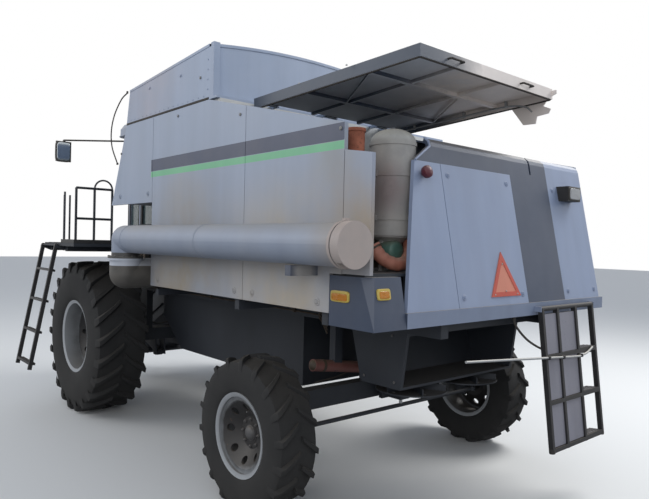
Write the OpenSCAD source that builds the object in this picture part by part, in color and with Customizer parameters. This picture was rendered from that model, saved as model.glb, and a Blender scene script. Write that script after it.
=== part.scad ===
// Combine harvester with a transverse rotor, without its header.
// The front faces -Y, the operator's left side is +X, and the ground is at Z = 0.
// Places are first worked out from the front axle and then moved so that the ground under
// the middle of the whole machine is the origin.

/* [Body] */
// Width of the body over its side panels
body_w = 3000; // [2800:10:3100]
// Thickness of the body's panels with their frames
panel_t = 30; // [20:1:40]
// Height of the side panels' lower edge
panel_bottom = 1630; // [1610:5:1640]
// Height of the grain tank's rim
tank_top = 3290; // [3230:10:3320]
// Length of the grain tank at its rim, from the slanted front wall to the rear wall
tank_rim = 1850; // [1700:10:1900]
// Height of the tank extension at its rear corners
extension_h = 470; // [300:10:500]
// How far the middle of the extension's rear wall stands above its corners
extension_arch = 90; // [40:5:140]
// Width of the tank extension
extension_w = 2330; // [2200:10:2330]

/* [Wheels] */
// Distance from the front axle to the rear axle
wheel_base = 3550; // [3450:10:3600]
// Outer radius of the drive tyres
front_r = 900; // [870:5:910]
// Width of the drive tyres
front_tyre_w = 600; // [540:10:620]
// Distance between the middles of the drive tyres
front_track = 2720; // [2700:10:2760]
// Outer radius of the steered tyres
rear_r = 600; // [580:5:610]
// Width of the steered tyres
rear_tyre_w = 360; // [320:10:380]
// Distance between the middles of the steered tyres
rear_track = 2840; // [2820:10:2880]
// Height of a drive tyre's lugs
front_lug = 45; // [30:1:50]
// Height of a steered tyre's lugs
rear_lug = 34; // [24:1:40]

/* [Engine hood] */
// Length of the engine hood
hood_len = 1770; // [1650:10:1770]
// Width of the engine hood
hood_w = 1800; // [1700:10:1810]
// Angle of the raised hood over the horizontal
hood_raised = 3.4; // [0:0.1:6]
// Angle of the closed hood under the horizontal
hood_closed = 12.8; // [12:0.1:13]

/* [Unloading auger] */
// Outer diameter of the unloading tube
tube_d = 270; // [240:5:280]
// Length of the unloading tube from its turret
tube_len = 3240; // [3050:10:3280]
// Height of the unloading tube's axis
tube_z = 2080; // [2070:5:2100]

/* [Cab] */
// Width of the cab
cab_w = 1560; // [1500:10:1580]
// Height of the cab's walls
cab_h = 1480; // [1400:10:1500]
// Height of the cab's floor and the platform
floor_z = 2020; // [2000:5:2030]

/* [Feeder house] */
// Length of the feeder house
feeder_len = 1960; // [1800:10:1980]
// Angle of the feeder house under the horizontal as it parks
feeder_angle = 27; // [25:0.5:29]

/* [Ladders] */
// Distance from the machine's middle to the left ladder's foot
ladder_out = 2183; // [2160:1:2210]
// Height of the left ladder's foot
ladder_foot = 600; // [560:10:680]
// Height of the rear ladder's foot
rear_foot = 480; // [440:10:520]

/* [Hidden] */

$fn = 48;
// Running gap between round parts that turn in each other
run = 0.3;
// Gap between parts that pass each other
pass = 6;
half_w = body_w / 2;
inner_w = half_w - panel_t;

// Colours
steel_dark = "#2b2f33";
silver = "#a9b0b8";
galvanised = "#b4bac0";
slate = "#47525e";
rubber = "#1e1f21";
rim_grey = "#b9bec2";
rust = "#8a4a35";
dust = "#a8987c";

// Main frame rails: inner and outer face, underside, top, front and rear end
rail_in = 700;
rail_out = 780;
rail_z0 = 1440;
rail_z1 = 1600;
rail_y0 = -260;
rail_y1 = 4840;
cross_z0 = 1470;
cross_z1 = 1580;
cross_t = 80;
deck_z0 = 1880;
deck_z1 = 1900;
deck_y0 = 3220;
deck_y1 = 4780;

// Front axle: beam, final drives and spindles
axle_beam_z1 = 940;
axle_beam_h = 150;
axle_beam_y = 110;
final_r = 230;
final_x0 = 880;
final_x1 = 1060;
spindle_r = 90;
spindle_x1 = 1330;
hub_r = 150;

// Rear axle: beam, kingpins, knuckles and spindles
rear_beam_z0 = 700;
rear_beam_z1 = 860;
rear_beam_y = 60;
king_x = rear_track / 2 - 290;
king_r = 35;
boss_r = 70;
lug_t = 36;
knuckle_x = 75;
knuckle_t = 30;
rear_spindle_r = 45;
arm_y = 200;
arm_t = 36;
tie_r = 18;
tie_z = rear_beam_z0 - 2 - lug_t - 2 - tie_r * 2;
pivot_r = 30;
pivot_z = 780;

// Body stations from the front axle
tank_y0 = 1150;
tank_foot_y = 790;
tank_foot_z = 2470;
core_top = 2250;
cavity_y1 = 1800;
tank_y1 = tank_y0 + tank_rim;
seam_y = 3450;
corner_y = 4600;
rear_y = 4850;
tail_y = 4900;
tail_z = 1550;
skirt_z = 1650;
// Rear face, from left to right: seam of the silver leaves, left and right edge of the dark strip
leaf_seam = 630;
strip_x = [-850, -270];
// The leaves' left edge at the skirt, at the band and at the band's top
leaf_x = [1180, 910, 730];
// Lamp box on the left rear corner, and how far its top corner is cut
lamp_x = 1200;
lamp_y = 4480;
lamp_cut = 60;
band_z = 2680;
tail_top = 2800;
lean = 250 / 1250;
cover_z = tank_top - 10;

// Hood hinge and the top line of the rear body
hinge_y = tank_y1 + 80;
hinge_z = tank_top;
hood_x0 = -600;
hood_t = 20;
// How much narrower the hood is at its left rear corner
hood_taper = 120;
hood_hinges = [-450, 250, 950];
hood_lip = 70;
claw_t = 12;

// Cab, from its floor up
cab_x = -70;
cab_y0 = -850;
cab_y1 = 760;
cab_t = 50;
cab_corner = 220;
door_y0 = -250;
door_y1 = 550;
glass_t = 8;
// Door hinges: their axis, knuckle and pin radius, and heights over the floor
door_hinge = [cab_x + cab_w / 2 + 14, door_y1 + 1.5];
knuckle_r = 12;
door_pin_r = 5;
door_hinge_z = [250, 1150];

// Platform beside the cab
plat_x0 = cab_x + cab_w / 2 + 4;
plat_x1 = 1900;
plat_y0 = -250;
plat_y1 = 760;
plat_t = 35;

// Feeder house pivot and section, measured along and across it
feeder_y = 120;
feeder_z = 1640;
feeder_x = 480;
feeder_low = 420;
feeder_up = 30;
trunnion_r = 36;
// Hole for a header's locking pin
header_lock_r = 16;

// Lift cylinders: pins on the axle beam and on the feeder house
lift_x = 565;
lift_base = [100, 620];
lift_u = 900;
lift_v = -470;
lift_r = 42;
lift_rod_r = 22;
lift_pin_r = 20;
// Play in the rod's eye, for the difference between the real and the coupled path
lift_play = 4;

// Unloading auger: turret axis
turret = [1670, 1590];
turret_r = 150;
swing_z = 1890;

// Rear discharge housing and its spreaders
discharge_x = 740;
discharge_y = [3900, 4440];
discharge_z = 1000;
spreader_x = 350;
spreader_y = 4210;
spreader_r = 290;

// Accumulator under the left rail
accumulator_ends = [[990, 3720, 1100], [280, 3720, 1000]];
accumulator_r = 48;

// Left ladder hinge, on the platform's outer edge
ladder_hinge = [plat_x1 + 22, floor_z - 30];
ladder_y = 240;
stile_t = 30;

// Rear ladder hinge, behind the skirt
rear_hinge = [tail_y + 40, 1600];
rear_ladder_x = [-350, -580, -880, -1180];
rear_out = 130;

// Extent of the machine along X and Y, for the origin
left_lean = atan2(ladder_out - ladder_hinge[0], ladder_hinge[1] - ladder_foot);
left_end = ladder_out + 20 * cos(left_lean);
right_end = -(front_track + front_tyre_w) / 2;
rear_lean = atan2(rear_out, rear_hinge[1] - rear_foot);
front_end = feeder_y - feeder_len * cos(feeder_angle) - (feeder_up + 50) * sin(feeder_angle);
rear_end = rear_hinge[0] + rear_out + 20 * cos(rear_lean);
mid_x = (left_end + right_end) / 2;
mid_y = (front_end + rear_end) / 2;

module machine() translate([-mid_x, -mid_y, 0]) children();

// A box between two values on each axis
module block(x, y, z)
    translate([x[0], y[0], z[0]]) cube([x[1] - x[0], y[1] - y[0], z[1] - z[0]]);

// The children and their mirror image across the machine's middle
module both_sides() {
    children();
    mirror([1, 0, 0]) children();
}

// A flat outline of [y, z] points, thick from x[0] to x[1]
module side_plate(x)
    translate([x[0], 0, 0]) rotate([90, 0, 90]) linear_extrude(x[1] - x[0]) children();

// A round bar from p to q
module bar(p, q, r) {
    d = q - p;
    translate(p) rotate([0, acos(d[2] / norm(d)), atan2(d[1], d[0])]) cylinder(h = norm(d), r = r);
}

// A cylinder along X or Y from one value to another
module along_x(x, r) translate([x[0], 0, 0]) rotate([0, 90, 0]) cylinder(h = x[1] - x[0], r = r);
module along_y(y, r) translate([0, y[0], 0]) rotate([-90, 0, 0]) cylinder(h = y[1] - y[0], r = r);

// The rear face's line: its Y at the height z
function tail_at(z) = tail_y - (z - tail_z) * lean;
// The top line of the rear body's sides
function side_top(y) = y < tank_y1 - 130 ? tank_top
    : tank_top - (y - (tank_y1 - 130)) * 0.244;

// Frame post width
post = 80;

module main_frame() color(steel_dark) both_sides()
    block([rail_in, rail_out], [rail_y0, rail_y1], [rail_z0, rail_z1]);

// Bearings of the feeder house
module feeder_bearings() color(steel_dark) both_sides() difference() {
    block([rail_in, rail_out], [feeder_y - 90, feeder_y + 90], [rail_z1, feeder_z + 90]);
    translate([0, feeder_y, feeder_z]) along_x([rail_in - 1, rail_out + 1], trunnion_r + run);
}

module frame_posts() color(steel_dark) both_sides() {
    block([rail_in, rail_out], [-160, 160], [axle_beam_z1, rail_z0]);
    for (y = [rail_y0, 300]) block([rail_in, rail_out], [y, y + post], [rail_z1, floor_z - plat_t - 60]);
    for (y = [deck_y0, 4480]) block([rail_in, rail_out], [y, y + post], [rail_z1, deck_z0]);
    for (y = [3300, 4380]) block([inner_w - 60, inner_w], [y, y + 60], [rail_z1, deck_z0]);
}

// Crossmembers, outriggers that carry the side panels, and the cab's floor beams
module cross_members() color(steel_dark) {
    for (y = [1240, 4660]) block([-rail_in, rail_in], [y, y + cross_t], [cross_z0, cross_z1]);
    block([-rail_in, rail_in], [wheel_base - 150, wheel_base + 150], [cross_z0, cross_z1]);
    both_sides() for (y = [1860, 3300, 4380]) block([rail_out, inner_w], [y, y + 60], [rail_z1 - 60, rail_z1]);
    for (y = [rail_y0, 300]) block([-850, plat_x1 - 60], [y, y + post], [floor_z - plat_t - 60,
        floor_z - plat_t]);
}

module engine_deck() color(steel_dark) block([-inner_w, inner_w], [deck_y0, deck_y1], [deck_z0, deck_z1]);

// Rear axle's pivot bracket with its pin, the tow hitch behind it and the accumulator's hanger
module axle_bracket() color(steel_dark) {
    difference() {
        union() {
            for (y = [-150, 110]) block([-150, 150], [wheel_base + y, wheel_base + y + 40], [rear_beam_z0,
                cross_z0]);
            translate([0, 0, pivot_z]) along_y([wheel_base - 150, wheel_base + 150], pivot_r);
            for (z = [rear_beam_z0, 780]) block([-60, 60], [wheel_base + 150, wheel_base + 290], [z, z + 30]);
        }
        translate([0, wheel_base + 240, rear_beam_z0 - 1]) cylinder(h = 200, r = 16);
    }
    difference() {
        block([rail_in, rail_out], [3685, 3755], [1030, rail_z0]);
        bar(accumulator_ends[0], accumulator_ends[1], accumulator_r);
    }
}

module front_axle() color(steel_dark) {
    block([-final_x0, final_x0], [-axle_beam_y, axle_beam_y], [axle_beam_z1 - axle_beam_h, axle_beam_z1]);
    block([-320, 320], [-170, 230], [700, axle_beam_z1]);
    both_sides() {
        translate([0, 0, front_r]) {
            along_x([final_x0, final_x1], final_r);
            along_x([final_x1, spindle_x1], spindle_r);
        }
        // Ears and pin for the lift cylinder
        for (x = [lift_x - 68, lift_x + 48])
            side_plate([x, x + 20]) polygon([
                [-40, axle_beam_z1 - axle_beam_h], [axle_beam_y, axle_beam_z1 - axle_beam_h],
                [lift_base[0] + 35, lift_base[1] - 30], [lift_base[0] - 35, lift_base[1] - 30]]);
        translate([0, lift_base[0], lift_base[1]]) along_x([lift_x - 68, lift_x + 68], lift_pin_r);
    }
}

module rear_axle() color(steel_dark) {
    difference() {
        union() {
            block([-king_x, king_x], [wheel_base - rear_beam_y, wheel_base + rear_beam_y], [rear_beam_z0,
                rear_beam_z1]);
            both_sides() translate([king_x, wheel_base, rear_beam_z0])
                cylinder(h = rear_beam_z1 - rear_beam_z0, r = boss_r);
            translate([0, wheel_base, pivot_z]) along_y([-100, 100], 75);
        }
        both_sides() translate([king_x, wheel_base, rear_beam_z0 - 1])
            cylinder(h = rear_beam_z1 - rear_beam_z0 + 2, r = king_r + run);
        translate([0, wheel_base, pivot_z]) along_y([-101, 101], pivot_r + run);
    }
}

// Steering knuckle for the left side, with its kingpin, spindle and arm
module knuckle() {
    low = rear_beam_z0 - 2;
    high = rear_beam_z1 + 2;
    translate([king_x, wheel_base, 0]) {
        translate([0, 0, low - lug_t]) cylinder(h = high - low + 2 * lug_t, r = king_r);
        for (z = [low - lug_t, high]) {
            translate([0, 0, z]) cylinder(h = lug_t, r = 60);
            block([0, knuckle_x + knuckle_t], [-60, 60], [z, z + lug_t]);
        }
        block([knuckle_x, knuckle_x + knuckle_t], [-60, 60], [520, high + lug_t]);
        translate([0, 0, rear_r]) along_x([knuckle_x, rear_track / 2 - king_x + 20], rear_spindle_r);
        block([-30, 30], [0, arm_y], [low - lug_t, low]);
        translate([0, arm_y, low - lug_t]) cylinder(h = lug_t, r = 30);
        // Ball pin for the tie rod
        translate([0, arm_y, tie_z - tie_r]) cylinder(h = low - tie_z + tie_r, r = 14);
    }
}
module knuckle_left() color(steel_dark) knuckle();
module knuckle_right() color(steel_dark) mirror([1, 0, 0]) knuckle();

module tie_rod() color(steel_dark) translate([0, wheel_base + arm_y, tie_z]) {
    difference() {
        union() {
            along_x([-king_x, king_x], tie_r);
            for (s = [-1, 1]) translate([s * king_x, 0, -tie_r - 2]) cylinder(h = 2 * tie_r + 4, r = 34);
        }
        translate([king_x, 0, -tie_r - 3]) cylinder(h = 2 * tie_r + 6, r = 14 + run);
        translate([-king_x, 0, -tie_r - 3]) cylinder(h = 2 * tie_r + 6, r = 14 + 2);
    }
}

// Bar lugs of one tyre, in two staggered rows; the axle is along X
module lugs(r, w, h, count, thick) {
    half = w / 2 - 6;
    rise = half * 0.75;
    foot = h + 40;
    // The tip's corner reaches the full radius
    tip = (rise + thick) / 2;
    flat_r = sqrt(r * r - tip * tip);
    turn = atan(tip / flat_r);
    for (side = [0, 1], k = [0 : count - 1])
        rotate([180 + turn + (k + side / 2) * 360 / count, 0, 0])
            mirror([side, 0, 0])
                translate([0, 0, flat_r - foot]) linear_extrude(foot)
                    polygon([[8, -tip], [half, -tip + rise], [half, tip], [8, -tip + thick]]);
}

// A tyre around the X axis: beads on the rim, sidewalls, shoulders and a flat crown
module tyre(r, w, bead, lug, count, thick) {
    crown = r - lug;
    half = w / 2;
    wall = crown - bead;
    right = [
        [bead, half * 0.83], [bead + 28, half * 0.83], [bead + wall * 0.25, half * 0.95],
        [bead + wall * 0.5, half], [bead + wall * 0.78, half * 0.97], [bead + wall * 0.93, half * 0.85],
        [crown, half * 0.55]];
    left = [for (i = [len(right) - 1 : -1 : 0]) [right[i][0], -right[i][1]]];
    rotate([0, 90, 0]) rotate_extrude($fn = 60) polygon(concat(right, left));
    lugs(r, w, lug, count, thick);
}

// A rim around the X axis with its dished disc; +X is the outside of the left wheel
module rim(w, bead, flange, hub, hub_x, hub_len, bore) {
    half = w / 2 * 0.83;
    difference() {
        rotate([0, 90, 0]) rotate_extrude($fn = 60) {
            // Barrel with a drop centre and two flanges
            polygon([
                [bead - 14, -half], [bead + flange, -half - 12], [bead + flange, -half - 2], [bead - 0.2,
                    -half - 0.3],
                [bead - 0.2, half + 0.3], [bead + flange, half + 2], [bead + flange, half + 12],
                    [bead - 14, half]]);
            // Dished disc
            polygon([
                [hub - 2, hub_x], [hub + 50, hub_x], [bead - 40, hub_x + 90], [bead - 10, hub_x + 90],
                [bead - 10, hub_x + 106], [bead - 46, hub_x + 106], [hub + 44, hub_x + 16], [hub - 2,
                    hub_x + 16]]);
        }
        // Hand holes through the dish
        for (k = [0 : 7]) rotate([k * 45, 0, 0]) translate([0, 0, (hub + bead) / 2 + 12])
            along_x([hub_x - 20, hub_x + 140], 30);
    }
    difference() {
        along_x([hub_x + 20 - hub_len, hub_x + 20], hub);
        along_x([hub_x - hub_len, hub_x], bore + run);
    }
}

front_bead = 406;
rear_bead = 305;
front_hub_x = spindle_x1 - front_track / 2 + 2;
module front_rim() color(rim_grey) translate([front_track / 2, 0, front_r])
    rim(front_tyre_w, front_bead, 24, hub_r, front_hub_x, spindle_x1 - final_x1 - 20, spindle_r);
module front_tyre() color(rubber) translate([front_track / 2, 0, front_r])
    tyre(front_r, front_tyre_w, front_bead, front_lug, 22, 62);
module rear_rim() color(rim_grey) translate([rear_track / 2, wheel_base, rear_r])
    rim(rear_tyre_w, rear_bead, 20, 80, 22, 120, rear_spindle_r);
module rear_tyre() color(rubber) translate([rear_track / 2, wheel_base, rear_r])
    tyre(rear_r, rear_tyre_w, rear_bead, rear_lug, 18, 44);

module front_rim_left() front_rim();
module front_rim_right() mirror([1, 0, 0]) front_rim();
module front_tyre_left() front_tyre();
module front_tyre_right() mirror([1, 0, 0]) front_tyre();
module rear_rim_left() rear_rim();
module rear_rim_right() mirror([1, 0, 0]) rear_rim();
module rear_tyre_left() rear_tyre();
module rear_tyre_right() mirror([1, 0, 0]) rear_tyre();

// Body core around the transverse rotor
module separator_housing() color(steel_dark)
    side_plate([-1180, 1180])
        polygon([[620, rail_z1], [430, 1760], [430, 1920], [770, 1920], [770, core_top], [deck_y0 - 40,
            core_top], [deck_y0 - 40, rail_z1]]);

// Drive pulleys and belt beside the core, seen between the drive tyre and the side panel
module left_drive() color(steel_dark) {
    // Centre Y and Z, radius
    pulleys = [[640, 1790, 105], [1060, 1930, 130]];
    for (p = pulleys) translate([0, p[0], p[1]]) {
        along_x([1180, 1300], 30);
        along_x([1240, 1290], p[2]);
    }
    hull() for (p = [pulleys[0], pulleys[1]]) translate([1250, p[0], p[1]]) rotate([0, 90,
        0]) cylinder(h = 30, r = p[2] + 8);
}

module cleaning_shoe() color(steel_dark)
    side_plate([-rail_in, rail_in])
        polygon([[480, cross_z0], [480, 1150], [950, 800], [3240, 800], [3240, cross_z0]]);

module discharge_housing() color(steel_dark) {
    difference() {
        side_plate([-discharge_x, discharge_x])
            polygon([[discharge_y[0], rail_z0], [discharge_y[0] + 120, discharge_z], [discharge_y[1],
                discharge_z],
                [discharge_y[1] + 60, rail_z0]]);
        side_plate([-discharge_x + 30, discharge_x - 30])
            polygon([[discharge_y[0] + 40, rail_z0 - 30], [discharge_y[0] + 150, discharge_z + 20],
                [discharge_y[1] + 100, discharge_z + 20], [discharge_y[1] + 100, rail_z0 - 30]]);
    }
    for (s = [-1, 1]) translate([s * spreader_x, spreader_y, discharge_z - 90]) cylinder(h = 90, r = 20);
}

module spreader() difference() {
    union() {
        translate([0, 0, discharge_z - 84]) cylinder(h = 10, r = spreader_r);
        translate([0, 0, discharge_z - 84]) cylinder(h = 70, r = 45);
        for (k = [0 : 5]) rotate([0, 0, k * 60]) block([30, spreader_r - 10], [-4, 4], [discharge_z - 84,
            discharge_z - 24]);
    }
    translate([0, 0, discharge_z - 100]) cylinder(h = 100, r = 20 + run);
}
module spreader_left() color(steel_dark) translate([spreader_x, spreader_y, 0]) spreader();
module spreader_right() color(steel_dark) translate([-spreader_x, spreader_y, 0]) spreader();

// Open grain tank with a hopper floor, its cross auger and its fill tube
module grain_tank() color(galvanised) {
    wall = 30;
    difference() {
        side_plate([-inner_w, inner_w])
            polygon([[tank_foot_y, tank_foot_z], [tank_y0, tank_top], [tank_y1, tank_top], [tank_y1, core_top],
                [cavity_y1, core_top], [cavity_y1, tank_foot_z]]);
        side_plate([wall - inner_w, inner_w - wall])
            polygon([[tank_foot_y + 45, tank_foot_z + wall], [tank_y0 + wall, tank_top + 1],
                [tank_y1 - wall, tank_top + 1],
                [tank_y1 - wall, 2900], [2250, core_top + wall], [cavity_y1 + wall, core_top + wall],
                [cavity_y1 + wall, tank_foot_z + wall]]);
    }
    // Cross auger in the trough
    translate([0, 2040, core_top + wall + 130]) {
        along_x([wall - inner_w, inner_w - wall], 30);
        for (k = [-6 : 6]) translate([k * 210, 0, 0]) along_x([-6, 6], 110);
    }
    // Fill tube from the right wall to the middle
    bar([wall + 10 - inner_w, 2450, 2950], [-150, 2250, 3330], 95);
}

// Sheet walls that raise the tank, with the arched rear wall and the covers around the rim
module tank_extension() color(silver) {
    x1 = half_w;
    x0 = half_w - extension_w;
    back = tank_y1 - 130;
    low = tank_top + 20;
    front_h = extension_h - 110;
    mid = (x0 + x1) / 2;
    arch_steps = 24;
    // Left and right wall
    for (x = [x0, x1 - panel_t]) side_plate([x, x + panel_t])
        polygon([[tank_y0 + 20, low], [tank_y0 + 20 + front_h * 0.2, tank_top + front_h], [back,
            tank_top + extension_h], [back, low]]);
    // Front wall
    side_plate([x0, x1]) polygon([[tank_y0, low], [tank_y0 + front_h * 0.2, tank_top + front_h],
        [tank_y0 + 20 + front_h * 0.2, tank_top + front_h], [tank_y0 + 20, low]]);
    // Rear wall with its arch, a shallow parabola
    arch = [for (k = [0 : arch_steps]) let (t = 2 * k / arch_steps - 1)
        [mid + t * extension_w / 2, tank_top + extension_h + extension_arch * (1 - t * t)]];
    side_plate_y([back, back + 20]) polygon(concat([[x1, low], [x0, low]], arch));
    // Corner posts behind the rear wall
    for (x = [x0, x1 - 60]) block([x, x + 60], [back + 20, back + 70], [low, tank_top + extension_h + 10]);
    // Rim covers: the right deck and the strip behind the extension
    block([-half_w, x0 + panel_t], [tank_y0, tank_y1], [tank_top, low]);
    block([-half_w, half_w], [back, tank_y1], [tank_top, low]);
    block([x0, half_w], [tank_y0, tank_y0 + 40], [tank_top, low]);
    block([x1 - panel_t, x1], [tank_y0, back], [tank_top, low]);
    // Ears and pins of the hood's hinge
    for (x = hood_hinges) {
        for (a = [x - 27, x + 127]) side_plate([a, a + 20]) polygon([
            [tank_y1 - 20, tank_top + 5], [tank_y1 - 20, tank_top + 15], [hinge_y + 14, hinge_z + 15],
            [hinge_y + 14, hinge_z - 14], [tank_y1 + 2, hinge_z - 14], [tank_y1 + 2, tank_top + 5]]);
        translate([0, hinge_y, hinge_z]) along_x([x - 27, x + 147], 6);
    }
}

// Silver side panels; the left and the right side share their outlines
module side_panels() color(silver) {
    seam = 3;
    both_sides() side_plate([inner_w, half_w]) {
        // Upper front panel beside the tank
        polygon([[tank_foot_y - 10, tank_foot_z - 20], [tank_y0, tank_top], [cavity_y1 - seam, tank_top],
            [cavity_y1 - seam, tank_foot_z - 20]]);
        // Middle panel
        polygon([[cavity_y1 + seam, panel_bottom], [cavity_y1 + seam, tank_top], [tank_y1 - 130, tank_top],
            [seam_y - seam, side_top(seam_y)], [seam_y - seam, panel_bottom]]);
    }
    // Rear left panel and the dusty corner strip behind it
    side_plate([inner_w, half_w]) {
        polygon([[seam_y + seam, panel_bottom], [seam_y + seam, side_top(seam_y)], [corner_y - seam,
            side_top(corner_y)],
            [corner_y - seam, deck_z0 + 10], [lamp_y, deck_z0 + 10], [lamp_y, panel_bottom]]);
        polygon([[corner_y + seam, deck_z0 + 14], [corner_y + seam, 2690], [rear_y, 2650], [rear_y,
            deck_z0 + 14]]);
    }
    // Rear right panel around the rotary screen
    mirror([1, 0, 0]) difference() {
        side_plate([inner_w, half_w])
            polygon([[seam_y + seam, skirt_z], [seam_y + seam, side_top(seam_y)], [tail_at(tail_top) - 40,
                side_top(tail_at(tail_top) - 40)],
                [tail_at(skirt_z) - 40, skirt_z]]);
        translate([0, 4010, 2400]) along_x([inner_w - 1, half_w + 1], 440);
    }
}

// A leaning plate in the rear face: X range, height range and its distance behind the face line
module rear_leaf(x, z, out = 0, t = panel_t)
    side_plate(x) polygon([[tail_at(z[0]) + out - t, z[0]], [tail_at(z[0]) + out, z[0]],
        [tail_at(z[1]) + out, z[1]], [tail_at(z[1]) + out - t, z[1]]]);

// The rounded top edge above a rear leaf
module top_bend(x) {
    y = tail_at(tail_top);
    side_plate(x) polygon([[y, tail_top], [y - 12, tail_top + 32], [y - 50, tail_top + 62], [y - 60,
        tail_top + 38],
        [y - 38, tail_top + 20], [y - panel_t, tail_top]]);
}

module rear_panels() color(silver) {
    seam = 3;
    cover_y = tail_at(tail_top) - 70;
    // Left leaf, cut on a slant beside the open corner
    intersection() {
        rear_leaf([leaf_seam + seam, leaf_x[0]], [skirt_z, band_z]);
        side_plate_y([0, 2 * tail_y])
            polygon([[leaf_seam, 0], [leaf_x[0], 0], [leaf_x[0], skirt_z], [leaf_x[1], band_z], [leaf_seam,
                band_z]]);
    }
    rear_leaf([strip_x[1], leaf_seam - seam], [skirt_z, band_z]);
    rear_leaf([-inner_w, strip_x[0]], [skirt_z, tail_top]);
    top_bend([-inner_w, strip_x[0]]);
    // Fixed cover between the hood and the right side
    side_plate([-inner_w, hood_x0 - pass])
        polygon([[tank_y1, side_top(tank_y1) - 30], [tank_y1, side_top(tank_y1) - 12], [cover_y,
            side_top(cover_y) - 12],
            [cover_y, side_top(cover_y) - 30]]);
}

// Dark band, strip and skirt that wrap round the rear, and the left lamp box
module dark_trim() color(slate) {
    intersection() {
        rear_leaf([strip_x[1], leaf_x[1]], [band_z, tail_top]);
        side_plate_y([0, 2 * tail_y])
            polygon([[strip_x[1], 0], [leaf_x[1], 0], [leaf_x[1], band_z], [leaf_x[2], tail_top],
                [strip_x[1], tail_top]]);
    }
    difference() {
        union() {
            rear_leaf(strip_x, [skirt_z, tail_top]);
            top_bend([strip_x[0], leaf_x[2]]);
        }
        // Notch for the hood's latch claw
        block([hood_x0 - pass, hood_x0 + claw_t + pass], [tail_at(tail_top) - 90, tail_y], [2710,
            tail_top + 100]);
    }
    // Skirt across the rear and along the right side
    block([-half_w, lamp_x], [tail_y - 60, tail_y], [tail_z, skirt_z]);
    block([-half_w, -inner_w], [seam_y + 3, tail_y - 60], [tail_z, skirt_z - 1]);
    // Lamp box round the left corner; its rear face leans and its upper corner is cut
    difference() {
        hull() {
            block([lamp_x, half_w], [lamp_y + 3, tail_y], [tail_z, tail_z + 1]);
            block([lamp_x, half_w], [lamp_y + 3, tail_at(deck_z0) - lamp_cut], [deck_z0 - 1, deck_z0]);
            block([lamp_x, half_w - lamp_cut], [lamp_y + 3, tail_at(deck_z0)], [deck_z0 - 1, deck_z0]);
        }
        side_plate([lamp_x - 1, inner_w]) polygon([[lamp_y, tail_z - 1], [tail_y - 50, tail_z - 1],
            [tail_at(deck_z0 - panel_t) - 60, deck_z0 - panel_t], [lamp_y, deck_z0 - panel_t]]);
    }
    // Saddle under the unloading tube
    block([half_w, turret[0] + 60], [4300, 4360], [1870, tube_z - tube_d / 2 - pass]);
    // Ears and pin of the rear ladder
    x = [rear_ladder_x[3] - 22, rear_ladder_x[0] + 22];
    for (a = [x[0] - 12, x[1]]) block([a, a + 12], [tail_y, rear_hinge[0] + 20], [rear_hinge[1] - 22,
        rear_hinge[1] + 22]);
    translate([0, rear_hinge[0], rear_hinge[1]]) along_x([x[0] - 12, x[1] + 12], 9);
}

module marker_lamps() color("#d08a2c") {
    block([half_w, half_w + 12], [lamp_y + 20, lamp_y + 200], [1710, 1785]);
    rear_leaf([lamp_x + 120, lamp_x + 240], [1735, 1815], 12, 11);
}

// Blank triangular plate on the rear face
module slow_sign() color("#d8542a") {
    z0 = 1712;
    h = 337;
    x = [-164, 34, 232];
    intersection() {
        rear_leaf([x[0], x[2]], [z0, z0 + h], 4, 4);
        side_plate_y([0, 2 * tail_y]) polygon([[x[0], z0], [x[2], z0], [x[1], z0 + h]]);
    }
}

// Engine: block, head and cover, flywheel housing, fan pulley and manifold
module engine() color("#5d4a38") {
    y0 = 3500;
    y1 = 4060;
    block([-350, 750], [y0, y1], [1990, 2500]);
    for (x = [-250, 580]) for (y = [y0 + 30, y1 - 90]) block([x, x + 70], [y, y + 60], [deck_z1, 1990]);
    block([-300, 700], [y0 + 60, y1 - 90], [2500, 2640]);
    block([-270, 670], [y0 + 120, y1 - 170], [2640, 2730]);
    translate([0, (y0 + y1) / 2, 2260]) along_x([-440, -350], 250);
    translate([0, (y0 + y1) / 2, 2200]) along_x([750, 810], 110);
    for (k = [0 : 5]) translate([-220 + k * 150, y1 - 90, 2560]) along_y([0, 90], 28);
    translate([0, y1 + 30, 2560]) along_x([-260, 600], 45);
    translate([640, y1 + 40, 2500]) sphere(r = 105);
}

module air_cleaner() color(dust) {
    r = 165;
    z = [2150, 2820];
    translate([900, 4460, 0]) {
        translate([0, 0, z[0]]) cylinder(h = z[1] - z[0], r = r);
        translate([0, 0, z[1]]) intersection() {
            scale([1, 1, 0.6]) sphere(r = r);
            cylinder(h = r, r = r + 1);
        }
        for (s = [-1, 1]) block([s * 90 - 15, s * 90 + 15], [-15, 15], [deck_z1, z[0]]);
    }
}

module exhaust_pipe() color(rust) translate([1240, 4430, 0]) {
    z = 2330;
    r = 60;
    translate([0, 0, z]) cylinder(h = 550, r = r);
    translate([0, 0, z]) sphere(r = r);
    translate([0, 0, z]) along_y([-420, 0], r);
    block([-40, 40], [-380, -340], [deck_z1, z - r + 5]);
}

module radiator_box() color(steel_dark) {
    z1 = 2780;
    difference() {
        block([-1440, -960], [3520, 4500], [deck_z1, z1]);
        block([-1441, -1000], [3580, 4440], [1960, z1 - 60]);
    }
    // Core, shroud and the screen's spindle
    block([-1120, -1000], [3580, 4440], [1960, z1 - 60]);
    translate([0, 4010, 2400]) along_x([-1520, -1120], 24);
}

module rotary_screen() color("#6f767c") translate([0, 4010, 2400]) difference() {
    union() {
        along_x([-1500, -1450], 430);
        along_x([-1515, -1440], 70);
    }
    along_x([-1490, -1400], 400);
    along_x([-1600, -1400], 24 + run);
    for (k = [0 : 11]) rotate([k * 30, 0, 0]) translate([0, 0, 250]) along_x([-1600, -1400], 50);
}

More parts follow.
